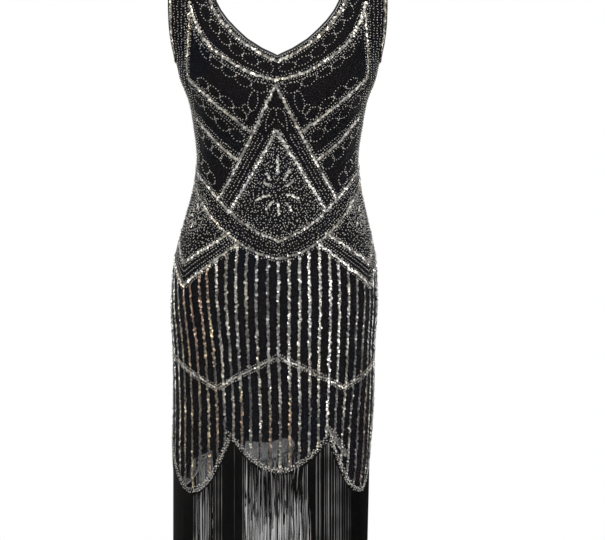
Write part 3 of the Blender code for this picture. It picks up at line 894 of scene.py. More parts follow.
def read_rows(at, run, rows):
    """Every column of rows, read at other places."""
    return np.stack([np.interp(at, run, part) for part in rows.T], axis=1)


def small_steps(run):
    """Even places a few millimetres apart."""
    return np.linspace(0.0, run[-1], max(int(run[-1] / TRACK_STEP), 2) + 1)


def fine_line(spots_given):
    """A line through spots with a point every few millimetres."""
    line = np.array(spots_given, float)
    run = run_along(line)
    return read_rows(small_steps(run), run, line)


def smooth_line(spots_given):
    """The same, bent smoothly through its spots."""
    line = np.array(spots_given, float)
    run = run_along(line)
    return np.array([hermite(run, line, t) for t in small_steps(run)])


def track_of(line):
    """A front line's track, in the plan's columns."""
    found = np.array([spot(x + centre_at(z), z) for x, z in line])
    found[:, 0] -= centre_move(found[:, 0], found[:, 1])
    return found


def smooth_track(*spots_given):
    return track_of(smooth_line(spots_given))


def unrolled(line):
    """A track from a line of metres round the dress and heights."""
    return np.stack([line[:, 0] / ROUND_PITCH, level_at(line[:, 1])], axis=1)


def round_track(spots_given):
    """A track through (column, height) spots, for what lies round the side."""
    return unrolled(fine_line([(c * ROUND_PITCH, h) for c, h in spots_given]))


def led_round(track, *spots_given):
    """A track led on round the side through (column, height) spots."""
    last = (track[-1, 0], float(height_at(track[-1, 1])))
    return np.vstack([track, round_track((last, *spots_given))[1:]])


def to_back(track):
    """The back's copy of a track on the front. Both meet at the side seam and at the shoulder."""
    height = height_at(track[:, 1])
    share = np.clip((height - BACK_DROP_ENDS) / (UNDERARM - BACK_DROP_ENDS), 0.0, 1.0)
    share = share * np.clip((SEAM_COLUMN - track[:, 0]) / 5.0, 0.0, 1.0) * np.clip(-height / 0.12, 0.0, 1.0)
    return np.stack([BACK_COLUMN - track[:, 0], level_at(height - BACK_DROP * share)], axis=1)


def mirrored(track):
    return track * np.array([-1.0, 1.0])


def images(track):
    """A track on the left half of the front, and its images: left back, right front, right back."""
    four = (track, to_back(track), mirrored(track), mirrored(to_back(track)))
    return [settled(image) for image in four]


def walk(track, pitch, start=0.5):
    """Even places along a track."""
    points = place(track[:, 0], track[:, 1])[0]
    run = run_along(points)
    count = max(int(round(run[-1] / pitch)), 1)
    at = (np.arange(count) + start) * run[-1] / count
    along = read_rows(at, run, unit(np.gradient(points, axis=0)))
    return Sewn(np.interp(at, run, track[:, 0]), np.interp(at, run, track[:, 1]), unit(along))


def beside(sewn, ahead, aside):
    """Places moved ahead and aside of where they were."""
    out = place(sewn.column, sewn.level)[1]
    across = np.cross(out, sewn.along)
    move = sewn.along * np.reshape(ahead, (-1, 1)) + across * np.reshape(aside, (-1, 1))
    column, level = slide(sewn.column, sewn.level, move)
    return Sewn(column, level, sewn.along)


def shifted(track, step, aside):
    """A track that runs beside another."""
    moved = beside(walk(track, step), 0.0, aside)
    return np.stack([moved.column, moved.level], axis=1)


print("tracks step", TRACK_STEP * 1000, "mm")

# %% [markdown]
# ## Sequins and beads
# A cup sequin is a thin six-sided dish, and a seed bead is a squashed ball. Each is modelled once, with very
# few faces, and copied to every place in one array. Where it lies, how it leans, its size and its finish are
# kept in lists until the pattern is complete. Every copy carries three numbers for its material: tint goes from
# silver through champagne to copper and rose, shine from dull to shiny, and a painted glint makes a share of
# the sequins light as if they caught a lamp. On the skirt the shine also holds painted light and shade.

# %% What is sewn where
rng = np.random.default_rng(1926)
heap = defaultdict(list)

SEQUIN_LEAN = 0.17  # radians that a sequin rides up on the next one
LEAN_SPREAD = 0.2
ROLL_SPREAD = 0.16
SEQUIN_LIFT = 0.0007  # off the cloth
LIFT_SPREAD = 0.0004
STRIP_PITCH = 0.46  # of a sequin's width
AHEAD_SPREAD = 0.0003  # metres that a sequin strays along its line
TINT_DRIFT = 0.07
SHINE_DRIFT = 0.15
# Painted glint: the least that a glinting sequin's colour is lifted towards a painted highlight.
LEAST_PAINTED_GLINT = 0.45  # of a sequin that catches the light


def drift(count, reach, spread=1.0):
    """A row of numbers that wander slowly, reach places at a time, around 0."""
    raw = rng.normal(size=count + 6 * reach)
    weights = np.exp(-((np.arange(-3 * reach, 3 * reach + 1) / reach) ** 2) / 2)
    slow = np.convolve(raw, weights / math.sqrt((weights**2).sum()), mode="valid")[:count]
    return slow * spread


def sew(kind, area, sewn, size, lift, lean, tint, shine, gleam):
    """Adds places to a heap. kind is sequin or bead, and area names the part of the dress."""
    count = len(sewn.column)
    columns = {"size": size, "lift": lift, "lean": lean, "tint": tint, "shine": shine, "gleam": gleam}
    row = {key: np.broadcast_to(np.asarray(value, float), (count,)) for key, value in columns.items()}
    row.update(column=sewn.column, level=sewn.level, along=sewn.along)
    heap[kind, area].append(row)


def how_many(kind, area):
    return sum(len(row["column"]) for row in heap[kind, area])


def painted_glints(count, share):
    """Painted glints: which sequins are painted as catching the light, mostly none, and a share of them from half
    to fully.
    """
    return np.where(rng.uniform(size=count) < share, rng.uniform(LEAST_PAINTED_GLINT, 1.0, count), 0.0)


def nudged(sewn, ahead, aside):
    """Places moved at random, by about so many metres."""
    count = len(sewn.column)
    return beside(sewn, rng.normal(0, ahead, count), rng.normal(0, aside, count))


Spread = namedtuple("Spread", "sizes tint_run shine_run shine")  # a run is how many sequins are alike
IN_STRIPS = Spread((0.74, 1.12), 4, 3, 0.22)
IN_STRIPES = Spread((0.62, 1.08), 9, 4, 0.2)


def sequins(area, sewn, spread, width, tint, shine, gleam, shrink=1.0):
    """Sequins at places, each a little different from the next."""
    count = len(sewn.column)
    sew(
        "sequin",
        area,
        sewn,
        size=width * rng.uniform(*spread.sizes, count) * shrink,
        lift=SEQUIN_LIFT + rng.uniform(0, LIFT_SPREAD, count),
        lean=SEQUIN_LEAN + rng.normal(0, LEAN_SPREAD, count),
        tint=np.clip(tint + drift(count, spread.tint_run, TINT_DRIFT), 0, 1),
        shine=np.clip(
            shine + drift(count, spread.shine_run, SHINE_DRIFT) + rng.normal(0, spread.shine, count), 0, 1
        ),
        gleam=painted_glints(count, gleam),
    )


def strip(area, track, width, tint, shine, pitch=None, wander=0.0007, gleam=0.09):
    """A line of overlapping sequins, in runs that are brighter and duller, with a share of painted glints."""
    sewn = nudged(walk(track, pitch or width * STRIP_PITCH), AHEAD_SPREAD, wander)
    sequins(area, sewn, IN_STRIPS, width, tint, shine, gleam)


BEAD = 0.00184
BEAD_LIFT = 0.38  # of its size


def beads(area, sewn, size=BEAD, tint=0.12, shine=0.66, loose=0.0004, spread=0.22):
    """Beads at places, each a little off."""
    sewn = nudged(sewn, loose, loose)
    count = len(sewn.column)
    sew(
        "bead",
        area,
        sewn,
        size=size * rng.uniform(0.85, 1.12, count),
        lift=size * BEAD_LIFT,
        lean=0.0,
        tint=np.clip(tint + rng.normal(0, 0.05, count), 0, 1),
        shine=np.clip(shine + rng.normal(0, spread, count), 0, 1),
        gleam=0.0,
    )


BEAD_PITCH = 0.0043


def bead_row(area, track, aside=0.0, pitch=BEAD_PITCH, swing=0.0, wave=0.02, **finish):
    """A row of beads beside a track, which may swing from side to side."""
    sewn = walk(track, pitch, rng.uniform(0.2, 0.8))
    phase = np.arange(len(sewn.column)) * pitch / wave * 2 * math.pi
    beads(area, beside(sewn, 0.0, aside + swing * np.sin(phase)), **finish)


LINK_LENGTH = 0.027
LINK_HALF_HEIGHT = 0.0074
LINK_BEADS = 7  # along each side of a link
LINK_STRAY = 0.0008  # metres to one side


def chain(area, track):
    """Oval links of beads, end to end, each a little different."""
    middles = walk(track, LINK_LENGTH)
    count = len(middles.column)
    tall = LINK_HALF_HEIGHT * rng.uniform(0.82, 1.15, count)
    shift = rng.normal(0, LINK_STRAY, count)
    turn = (np.arange(LINK_BEADS) + 0.5) / LINK_BEADS * math.pi
    for side in (-1, 1):
        for angle in turn:
            ahead, aside = -LINK_LENGTH / 2 * math.cos(angle), shift + side * tall * math.sin(angle)
            beads(area, beside(middles, ahead, aside))
    beads(area, beside(middles, LINK_LENGTH / 2, 0.0))


print("sequins lean", round(math.degrees(SEQUIN_LEAN)), "degrees")

# %% [markdown]
# ## The plan of the bodice
# Two bands of sequins follow the neck. A tall triangle stands on the belt below its point, with a smaller one
# inside it, and slanting lines run down to it from the princess seams. The belt is two bowed bands. Chains of
# oval links fill the spaces, and fine beads speckle the small triangle, the belt and the hips. Each line is
# given as a few spots on the left half of the front.

# %% Lines of the bodice
NECK_BAND = 0.006
LINE_WIDTH = 0.0056
NECK_BAND_OFF = 0.0066  # from the cut edge
NECK_BEADS_OFF = (0.002, 0.0116)
NECK_TIP = 1.15  # how much further off the band is at the point of the V

SECOND_NECK = smooth_track(
    (0.0, -0.2604), (0.0395, -0.2498), (0.0805, -0.2268), (0.1178, -0.1905), (0.1355, -0.153), (0.141, -0.133)
)
PRINCESS = smooth_track((0.139, -0.15), (0.1412, -0.175), (0.1432, -0.21), (0.1448, -0.242), (0.1432, -0.256))
UPPER_SLANT = smooth_track((0.0417, -0.3402), (0.0935, -0.301), (0.1425, -0.256))
LOWER_SLANT = smooth_track((0.0635, -0.3855), (0.101, -0.353), (0.133, -0.3135))
BIG_TRIANGLE = track_of(fine_line(((0.0, -0.2683), (0.09, -0.446))))
SMALL_TRIANGLE = track_of(fine_line(((0.0, -0.3377), (0.073, -0.465))))
BELT_TOP = smooth_track((0.0, -0.5158), (0.045, -0.4925), (0.087, -0.454), (0.115, -0.418))
BELT_TOP = led_round(BELT_TOP, (12.0, -0.402), (13.0, -0.3955), (14.0, -0.391))
BELT_FOOT = smooth_track((0.0, -0.5427), (0.036, -0.532), (0.0695, -0.51), (0.104, -0.4725), (0.12, -0.445))
BELT_FOOT = led_round(BELT_FOOT, (11.5, -0.429), (12.7, -0.4185), (14.0, -0.412))

LINES = (  # track, width, tint and shine
    (SECOND_NECK, LINE_WIDTH, 0.16, 0.62),
    (PRINCESS, 0.0044, 0.34, 0.52),
    (UPPER_SLANT, LINE_WIDTH, 0.14, 0.56),
    (LOWER_SLANT, LINE_WIDTH, 0.18, 0.5),
    (BIG_TRIANGLE, 0.0052, 0.14, 0.52),
    (SMALL_TRIANGLE, LINE_WIDTH, 0.06, 0.66),
    (BELT_TOP, 0.0046, 0.14, 0.46),
    (BELT_FOOT, 0.0046, 0.16, 0.44),
)
for line, *looks in LINES:
    for track in images(line):
        strip("bodice", track, *looks)


def edge_track(edges, back, side, off, lowest=None):
    """A track beside a cut edge, off metres into the cloth."""
    track = np.stack(edge_spots(edges, back, side, lowest), axis=1)
    aside = side * off if back == (edges is not ARMHOLE) else -side * off
    return shifted(track, TRACK_STEP, aside)


for back, neck in ((False, FRONT_NECK), (True, BACK_NECK)):
    for side in (-1, 1):
        centre = np.array([[BACK_COLUMN if back else 0.0, level_at(neck[0].height - NECK_BAND_OFF * NECK_TIP)]])
        band = np.vstack([centre * [side, 1.0], edge_track(neck, back, side, NECK_BAND_OFF)])
        strip("bodice", band, NECK_BAND, 0.18, 0.56)
        for off in NECK_BEADS_OFF:
            bead_row("bodice", edge_track(neck, back, side, off))
print("sequin lines", how_many("sequin", "bodice"), "sequins")

# %% Beads that keep the lines company
COMPANY = 0.0047  # from the middle of a line


def outer(number, aside):
    """A distance towards the outside of a line, for each of its four images."""
    return aside if number in (0, 3) else -aside


def below(track, height):
    """The part of a track below a height."""
    return track[height_at(track[:, 1]) < height]


COMPANY_SHINE = 0.58
COMPANY_ROWS = (  # track, and distances towards its outer side
    (SECOND_NECK, (-0.0092, -COMPANY, COMPANY)),
    (PRINCESS, (-COMPANY, COMPANY)),
    (UPPER_SLANT, (COMPANY, -COMPANY, -0.0094)),
    (LOWER_SLANT, (0.0094, COMPANY, -COMPANY)),
    (BIG_TRIANGLE, (COMPANY,)),
    (below(BIG_TRIANGLE, -0.3), (-COMPANY,)),
    (below(BIG_TRIANGLE, -0.334), (-0.0105, -0.0165)),
    (SMALL_TRIANGLE, (-COMPANY, COMPANY)),
    (BELT_TOP, (-COMPANY, COMPANY)),
    (BELT_FOOT, (-COMPANY, COMPANY)),
)
for line, asides in COMPANY_ROWS:
    for number, track in enumerate(images(line)):
        for aside in asides:
            bead_row("bodice", track, outer(number, aside), shine=COMPANY_SHINE, loose=0.0006)


def between(first, second, share):
    """A track that runs between two others, share of the way from the first."""
    at = np.linspace(0.0, 1.0, max(len(first), len(second)))
    first, second = (read_rows(at, np.linspace(0.0, 1.0, len(line)), line) for line in (first, second))
    return first * (1 - share) + second * share


BELT_LOOKS = {"shine": 0.38, "size": BEAD * 0.95, "loose": 0.001, "spread": 0.34}
for share in (0.34, 0.5, 0.66):
    for track in images(between(BELT_TOP, BELT_FOOT, share)):
        bead_row("bodice", track, **BELT_LOOKS)

ARM_SIDE = smooth_track((0.156, -0.006), (0.1655, -0.07), (0.168, -0.14), (0.1655, -0.19))
ARM_SIDE = led_round(ARM_SIDE, (11.4, -0.211), (12.4, -0.228), (13.2, -0.248), (13.6, -0.28), (13.6, -0.386))
NECK_SIDE = smooth_track((0.14, -0.006), (0.14, -0.07), (0.14, -0.14), (0.143, -0.21))
NECK_SIDE = led_round(NECK_SIDE, (10.1, -0.24), (11.0, -0.27), (11.6, -0.3), (11.9, -0.34), (11.9, -0.396))
SIDE_WAVE = 0.019  # metres from one swing to the next

for share, swing in ((0.08, -0.001), (0.31, 0.001), (0.54, -0.001), (0.77, 0.001)):
    for track in images(between(ARM_SIDE, NECK_SIDE, share)):
        bead_row("bodice", track, swing=swing, wave=SIDE_WAVE)
for share in (1.0, 1.25):
    for track in images(below(between(ARM_SIDE, NECK_SIDE, share), -0.265)):
        bead_row("bodice", track, swing=0.0008, wave=SIDE_WAVE)
print("company rows", how_many("bead", "bodice"), "beads")

# %% Chains
CHAINS = (
    (
        (0.004, -0.244), (0.04, -0.23), (0.07, -0.208), (0.096, -0.178), (0.118, -0.14),
        (0.129, -0.08), (0.131, -0.015),
    ),
    ((0.013, -0.276), (0.048, -0.263), (0.085, -0.24), (0.115, -0.211), (0.13, -0.176)),
    ((0.128, -0.256), (0.09, -0.288), (0.048, -0.32)),
    ((0.135, -0.283), (0.1, -0.318), (0.052, -0.355)),
    ((0.13, -0.333), (0.105, -0.365), (0.072, -0.396)),
    ((0.127, -0.37), (0.112, -0.398), (0.098, -0.422)),
)
for spots in CHAINS:
    for track in images(smooth_track(*spots)):
        chain("bodice", track)

OVAL_STEPS = 25


def oval(centre_x, centre_z, half_width, half_height, tilt):
    """A closed oval line on the front, tilted clockwise by degrees."""
    turn = np.linspace(0.0, 2 * math.pi, OVAL_STEPS)
    wide, high = half_width * np.cos(turn), half_height * np.sin(turn)
    c, s = math.cos(math.radians(tilt)), math.sin(math.radians(tilt))
    return np.stack([centre_x + wide * c + high * s, centre_z - wide * s + high * c], axis=1)


OVALS = (
    oval(0.037, -0.293, 0.0075, 0.016, -12.0),  # beside the top of the big triangle
    oval(0.048, -0.306, 0.005, 0.009, 30.0),
)
ARCH = smooth_line(((0.0022, -0.3037), (0.0091, -0.3073), (0.0138, -0.3146), (0.016, -0.3225), (0.0168, -0.342)))
BRANCH = smooth_line(((0.0016, -0.319), (0.0045, -0.325), (0.0085, -0.3295), (0.0125, -0.3325)))
for line in (*OVALS, ARCH, BRANCH):
    for track in images(track_of(line)):
        bead_row("bodice", track)
STALK = fine_line(((0.0, -0.3037), (0.0, -0.317)))
for track in images(track_of(STALK))[:2]:  # it lies on the centre, so the other two would double it
    bead_row("bodice", track)
print("with chains", how_many("bead", "bodice"), "beads")

# %% Armhole strips
ARMHOLE_BAND = 0.0058
ARMHOLE_BAND_OFF = 0.004
ARMHOLE_BAND_FROM = -0.2198

for back in (False, True):
    for side in (-1, 1):
        track = edge_track(ARMHOLE, back, side, ARMHOLE_BAND_OFF, ARMHOLE_BAND_FROM)
        strip("bodice", track, ARMHOLE_BAND, 0.22, 0.78)
print("armholes edged")

# %% [markdown]
# ## Speckled fields and sunbursts
# The small triangle, the band of the belt and the two hips are filled with fine beads. Even rows would look
# printed, so the beads start on a grid of triangles and each is nudged at random. A polygon of columns and
# heights says where the field ends. Short bars of sequins radiate from its middle.


# %% Fields of beads
def inside(polygon, columns, heights):
    """Which spots lie in a polygon of (column, height) corners."""
    found = np.zeros(len(columns), bool)
    for (c1, h1), (c2, h2) in zip(polygon, polygon[1:] + polygon[:1], strict=True):
        crosses = (h1 > heights) != (h2 > heights)
        with np.errstate(divide="ignore", invalid="ignore"):
            at = c1 + (heights - h1) / (h2 - h1) * (c2 - c1)
        found ^= crosses & (columns < at)
    return found


def corners(track):
    """A track's (column, height) corners."""
    return [(c, float(height_at(l))) for c, l in track]


SPECKLE_NUDGE = 0.25  # of the way to the next bead


def speckle(polygon, spacing, shine):
    """Fills a polygon of the front with beads, and its images on the other side and the back."""
    columns, heights = (np.array(v) for v in zip(*polygon, strict=True))
    pitch = spacing / float(np.linalg.norm(look_up(ACROSS, columns.mean(), level_at(heights.mean()))))
    row_step = spacing * math.sqrt(3) / 2
    rows = np.arange(heights.min(), heights.max(), row_step)
    c, h = np.meshgrid(np.arange(columns.min(), columns.max(), pitch), rows)
    c = (c + (np.arange(len(rows)) % 2)[:, None] * pitch / 2).ravel()
    for number in range(4):
        column = c + rng.normal(0, SPECKLE_NUDGE * pitch, len(c))
        height = h.ravel() + rng.normal(0, SPECKLE_NUDGE * row_step, len(c))
        keep = inside(polygon, column, height)
        image = images(np.stack([column[keep], level_at(height[keep])], axis=1))[number]
        along = unit(look_up(UPWARD, image[:, 0], image[:, 1]))
        beads("bodice", Sewn(image[:, 0], image[:, 1], along), shine=shine, loose=0.0, spread=0.38)


triangle_field = [(0.0, -0.346)] + corners(SMALL_TRIANGLE)[2:] + corners(BELT_TOP)[:18][::-1] + [(0.0, -0.512)]
speckle(triangle_field, 0.0045, 0.6)
print("with fields", how_many("bead", "bodice"), "beads")

# %% The hip motif
HIP_INNER = ((4.9, -0.501), (7.5, -0.528), (10.0, -0.55), (12.0, -0.517), (14.0, -0.495))
HIP_OUTER = ((4.0, -0.518), (7.2, -0.556), (10.0, -0.5865), (12.0, -0.552), (14.0, -0.532))
HIP_CENTRE = (9.7, -0.472)
HIP_LINE = 0.0052


def hip_ring(radius):
    """A round track on the hip."""
    return unrolled(oval(HIP_CENTRE[0] * ROUND_PITCH, HIP_CENTRE[1], radius, radius, 0.0))


inner_track, outer_track = round_track(HIP_INNER), round_track(HIP_OUTER)
for found, tint in ((inner_track, 0.18), (outer_track, 0.12)):
    for track in images(found):
        strip("bodice", track, HIP_LINE, tint, 0.54)
        for aside in (-COMPANY, COMPANY):
            bead_row("bodice", track, aside)
for share in (0.38, 0.62):
    for track in images(between(inner_track, outer_track, share)):
        bead_row("bodice", track)
for radius in (0.006, 0.025, 0.03):
    for track in images(hip_ring(radius)):
        bead_row("bodice", track)

hip_field = [c for c in corners(BELT_FOOT) if c[0] > 5.6] + [(14.0, -0.5)]
hip_field += [(12.0, -0.522), (10.0, -0.556), (7.5, -0.534), (5.8, -0.516)]
speckle(hip_field, 0.0049, 0.47)
print("hips worked")

# %% Sunbursts
BELLY_RAY = 0.0043  # width
HIP_RAY = 0.004
BELLY_RAYS = (  # degrees clockwise from straight up, and where each starts and ends
    (0, 0.026, 0.054), (28, 0.019, 0.039), (58, 0.013, 0.028), (111, 0.015, 0.034), (148, 0.023, 0.038),
    (180, 0.019, 0.039), (212, 0.02, 0.035), (248, 0.016, 0.04), (302, 0.013, 0.027), (327, 0.02, 0.033),
)
HIP_RAYS = tuple((angle, 0.01, 0.021) for angle in range(10, 360, 40))


def rays(centre_x, centre_z, table):
    """Bars round a centre on the front."""
    middle = np.array([centre_x, centre_z])
    for angle, near, far in table:
        way = np.array([math.sin(math.radians(angle)), math.cos(math.radians(angle))])
        yield fine_line((middle + way * near, middle + way * far))


# The belly's rays get more painted glints than the other lines.
for line in rays(0.0, -0.435, BELLY_RAYS):
    for track in images(track_of(line))[:2]:
        strip("bodice", track, BELLY_RAY, 0.08, 0.56, gleam=0.25)
for line in rays(HIP_CENTRE[0] * ROUND_PITCH, HIP_CENTRE[1], HIP_RAYS):
    for track in images(round_track([(x / ROUND_PITCH, z) for x, z in line])):
        strip("bodice", track, HIP_RAY, 0.14, 0.5)
print("sequins on the bodice", how_many("sequin", "bodice"))

# %% [markdown]
# ## The skirt
# Fifty-six columns of sequins run down from the belt to the scallops. They are a little uneven, because the net
# gives under its load. Each column has its own finish: silver in front, champagne and copper to the wearer's
# right and towards the hem. A zigzag of small beads crosses them at the thigh. The scallops are edged with a line
# of sequins, with a row of beads below it and small loops of beads above.

# %% Columns of sequins
STRIPE_WIDTH = 0.0055
STRIPE_PITCH = STRIPE_WIDTH * 0.44
STRIPE_TOP_GAP = 0.004
STRIPE_FOOT_GAP = 0.009


def stripe_top(column):
    """Height of the line that the columns hang from."""
    off = abs(column) if abs(column) <= SEAM_COLUMN else BACK_COLUMN - abs(column)
    belt = [(c, h) for c, h in corners(BELT_FOOT) if c < HIP_OUTER[0][0]]
    return float(read_off(belt + list(HIP_OUTER), off))


SILVER, CHAMPAGNE, GOLD, COPPER, ROSE = 0.08, 0.3, 0.52, 0.75, 0.95
UPPER_WARM = {-12: 0.25, -11: 0.4, -10: 0.82, -9: 0.8, -8: 0.7, -7: 0.64, -6: 0.12, -5: CHAMPAGNE, -3: 0.22}
LOWER_WARM = {-12: CHAMPAGNE, -11: GOLD, -10: GOLD, -9: 0.35, -8: GOLD, -7: 0.62, -4: COPPER, -1: COPPER}
LOWER_WARM |= {1: 0.58, 9: ROSE, 10: COPPER, 11: CHAMPAGNE}
OLD_SILVER = 0.2
TURNS_WARM = 0.55  # share of the way down at which the lower finish takes over

# Painted light and shade: soft patches where the skirt's sequins are painted brighter or duller.
PaintedLightPatch = namedtuple("PaintedLightPatch", "column height across along change")
PAINTED_LIGHT_PATCHES = rows_of(  # soft patches where the sequins are brighter or duller
    PaintedLightPatch,
    (4.1, -0.6, 2.0, 0.11, 0.39), (-5.2, -0.515, 1.3, 0.045, 0.36), (-0.2, -0.63, 0.9, 0.1, 0.14),
    (-2.8, -0.64, 1.7, 0.11, -0.16), (10.0, -0.64, 2.4, 0.22, -0.2), (-2.0, -0.79, 0.7, 0.04, 0.34),
    (1.1, -0.765, 0.8, 0.06, 0.24), (5.1, -0.775, 0.6, 0.045, 0.24), (7.2, -0.78, 0.6, 0.04, 0.24),
    (6.1, -0.8, 0.5, 0.06, -0.3), (8.4, -0.81, 0.8, 0.07, -0.3), (23.5, -0.61, 2.4, 0.13, 0.36),
    (-21.5, -0.66, 2.2, 0.12, 0.26), (-25.8, -0.77, 1.2, 0.06, 0.22),
)
UPPER_SHINE = 0.27
LOWER_SHINE = 0.05
SHINE_TURNS = -0.72


def shine_and_painted_light_at(columns, heights):
    """Shine of the skirt's sequins at arrays of columns and heights, with patches of painted light and shade."""
    shine = np.where(heights > SHINE_TURNS, UPPER_SHINE, LOWER_SHINE)
    for painted_light in PAINTED_LIGHT_PATCHES:
        shine = shine + painted_light.change * bell((columns - painted_light.column) / painted_light.across, (heights - painted_light.height) / painted_light.along)
    return np.clip(shine, 0.0, 1.0)


STRIPE_SPOTS = 60
STRIPE_SWAY = 0.035  # in columns
STRIPE_WANDER = 0.0006
TURN_SPREAD = 0.12
TURN_SHARPNESS = 25

for number in range(-BACK_COLUMN, BACK_COLUMN):
    top = stripe_top(number) - STRIPE_TOP_GAP
    ends_at = settled(np.array([[number, level_at(SCALLOP_PEAK)]]))[:, 0]
    foot = float(net_hem(ends_at)[0]) + STRIPE_FOOT_GAP
    levels = np.linspace(level_at(top), level_at(foot), STRIPE_SPOTS)
    sway = drift(STRIPE_SPOTS, 9, STRIPE_SWAY)
    sewn = walk(settled(np.stack([number + sway, levels], axis=1)), STRIPE_PITCH)
    down = np.linspace(0.0, 1.0, len(sewn.column))
    change = 1 / (1 + np.exp((TURNS_WARM + rng.normal(0, TURN_SPREAD) - down) * TURN_SHARPNESS))
    warm = UPPER_WARM.get(number, SILVER) * (1 - change) + LOWER_WARM.get(number, OLD_SILVER) * change
    if abs(number) > SEAM_COLUMN:
        warm = warm + rng.choice([0.0, 0.0, CHAMPAGNE, GOLD]) * change
    sewn = nudged(sewn, AHEAD_SPREAD, STRIPE_WANDER)
    # The shine here carries painted light and shade, and more sequins get painted glints where it is high.
    shine_and_painted_light = shine_and_painted_light_at(np.full(len(down), float(number)), height_at(sewn.level))
    gleam, shrink = 0.04 + 0.22 * shine_and_painted_light**2, 1 - 0.08 * change
    sequins("skirt", sewn, IN_STRIPES, STRIPE_WIDTH, warm, shine_and_painted_light, gleam, shrink)
print("sequins on the skirt", how_many("sequin", "skirt"))

# %% Zigzag
ZIGZAG_LINE = 0.0036
ZIGZAG_BEADS_OFF = 0.004
ZIGZAG = ((0.0, -0.697), (6.85, -0.748), (14.0, -0.69))
for track in images(round_track(ZIGZAG)):
    strip("skirt", track, ZIGZAG_LINE, 0.16, 0.42)
    for aside in (-ZIGZAG_BEADS_OFF, ZIGZAG_BEADS_OFF):
        bead_row("skirt", track, aside, pitch=0.0038)
print("zigzag worked")

# %% Edge of the scallops
HEM_STEPS = 40
HEM_LOOP = 0.0105  # length of a small loop of beads
HEM_STEP = 0.003
HEM_LINE = 0.0028
HEM_LINE_OFF = 0.0038  # above the edge
HEM_BEADS = ((0.0011, 0.0), (0.0062, 0.0013), (0.0062, -0.0013))  # the same, and how far each row swings
SCALLOP_LAP = 0.85  # makes the lines of two scallops meet
HEM_LOOKS = {"size": 0.002, "tint": 0.12, "shine": 0.62, "loose": 0.0006, "spread": 0.34}


def hem_track(middle, scallop, off):
    """A track along one scallop, off metres above its edge, long enough to meet the next one's."""
    reach = scallop.half + off / ROUND_PITCH * SCALLOP_LAP
    columns = np.linspace(-reach, reach, HEM_STEPS)
    edge = np.stack([columns + middle, level_at(scallop_edge(scallop, columns))], axis=1)
    return shifted(edge, HEM_STEP, off)


SCALLOP_MIDDLES = (-28, -18.5, -9.5, 0, 9.5, 18.5)
# The scallops' line of sequins gets few painted glints.
for middle in SCALLOP_MIDDLES:
    scallop = SCALLOPS[0] if middle % BACK_COLUMN == 0 else SCALLOPS[1]
    strip("hem", hem_track(middle, scallop, HEM_LINE_OFF), HEM_LINE, 0.12, 0.2, pitch=0.0024, gleam=0.05)
    for off, swing in HEM_BEADS:
        bead_row("hem", hem_track(middle, scallop, off), pitch=0.0046, swing=swing, wave=HEM_LOOP, **HEM_LOOKS)

ROLLED_EDGE = smooth_track((0.073, -0.8075), (0.0901, -0.8239), (0.1013, -0.8395), (0.112, -0.856))
# The rolled edge's sequins get almost no painted glint.
for number in (0, 3):
    track = images(ROLLED_EDGE)[number]
    for aside, width in ((-0.0026, 0.0028), (0.0, 0.0034), (0.0022, 0.0028)):
        strip("hem", shifted(track, HEM_STEP, aside), width, 0.06, 0.05, wander=0.001, gleam=0.01)
    bead_row("hem", track, outer(number, 0.005), pitch=0.0044, loose=0.001, shine=0.45)
print("scallops edged with", how_many("bead", "hem"), "beads")

# %% Finishes of sequins and beads
TINTS = (
    (0.0, (0.86, 0.86, 0.85)),
    (0.3, (0.84, 0.79, 0.66)),
    (0.52, (0.8, 0.7, 0.46)),
    (0.75, (0.72, 0.5, 0.36)),
    (1.0, (0.66, 0.51, 0.5)),
)


def sparkle_material(name, dull, metallic, roughness):
    """Bright metal or glass whose tint, shine and painted glint come with each copy."""
    s = Shading(name)
    shine, gleam = s.attribute("shine"), s.attribute("gleam")
    patch = s.noise(140.0, 1.0)
    # A low shine mixes a copy towards the dull colour. A painted glint keeps it at its full tint and takes most of
    # its metal away: a painted highlight.
    share = ((1 - shine) * 0.85 + patch * 0.2) * (1 - gleam)
    return s.surface_is(
        Base_Color=s.mix(share, s.ramp(s.attribute("tint"), TINTS), dull),
        Metallic=metallic * (1 - 0.7 * gleam),
        Roughness=roughness + 0.25 * (1 - shine) + 0.08 * patch,
    )


SEQUIN_FINISH = sparkle_material("silver sequins", (0.06, 0.06, 0.065), 0.94, 0.16)
BEAD_FINISH = sparkle_material("glass beads", (0.18, 0.18, 0.19), 0.15, 0.18)
print("finishes", SEQUIN_FINISH.name, "and", BEAD_FINISH.name)


# %% Sequin and bead, modelled once
def model_of(work):
    """A small model's points and triangles."""
    bmesh.ops.triangulate(work, faces=work.faces)
    work.verts.index_update()
    points = np.array([v.co for v in work.verts])
    faces = np.array([[v.index for v in f.verts] for f in work.faces])
    work.free()
    return points, faces


def model_sequin():
    """A six-sided dish, one across."""
    work = bmesh.new()
    bmesh.ops.create_circle(work, cap_ends=True, segments=6, radius=0.5)
    bmesh.ops.poke(work, faces=work.faces, offset=-0.07)
    return model_of(work)


def model_bead():
    """A squashed ball, one across."""
    work = bmesh.new()
    bmesh.ops.create_icosphere(work, subdivisions=1, radius=0.5)
    bmesh.ops.scale(work, verts=work.verts, vec=(1.0, 1.0, 0.82))
    return model_of(work)


MODELS = {"sequin": model_sequin(), "bead": model_bead()}
print({kind: len(faces) for kind, (_, faces) in MODELS.items()}, "triangles each")


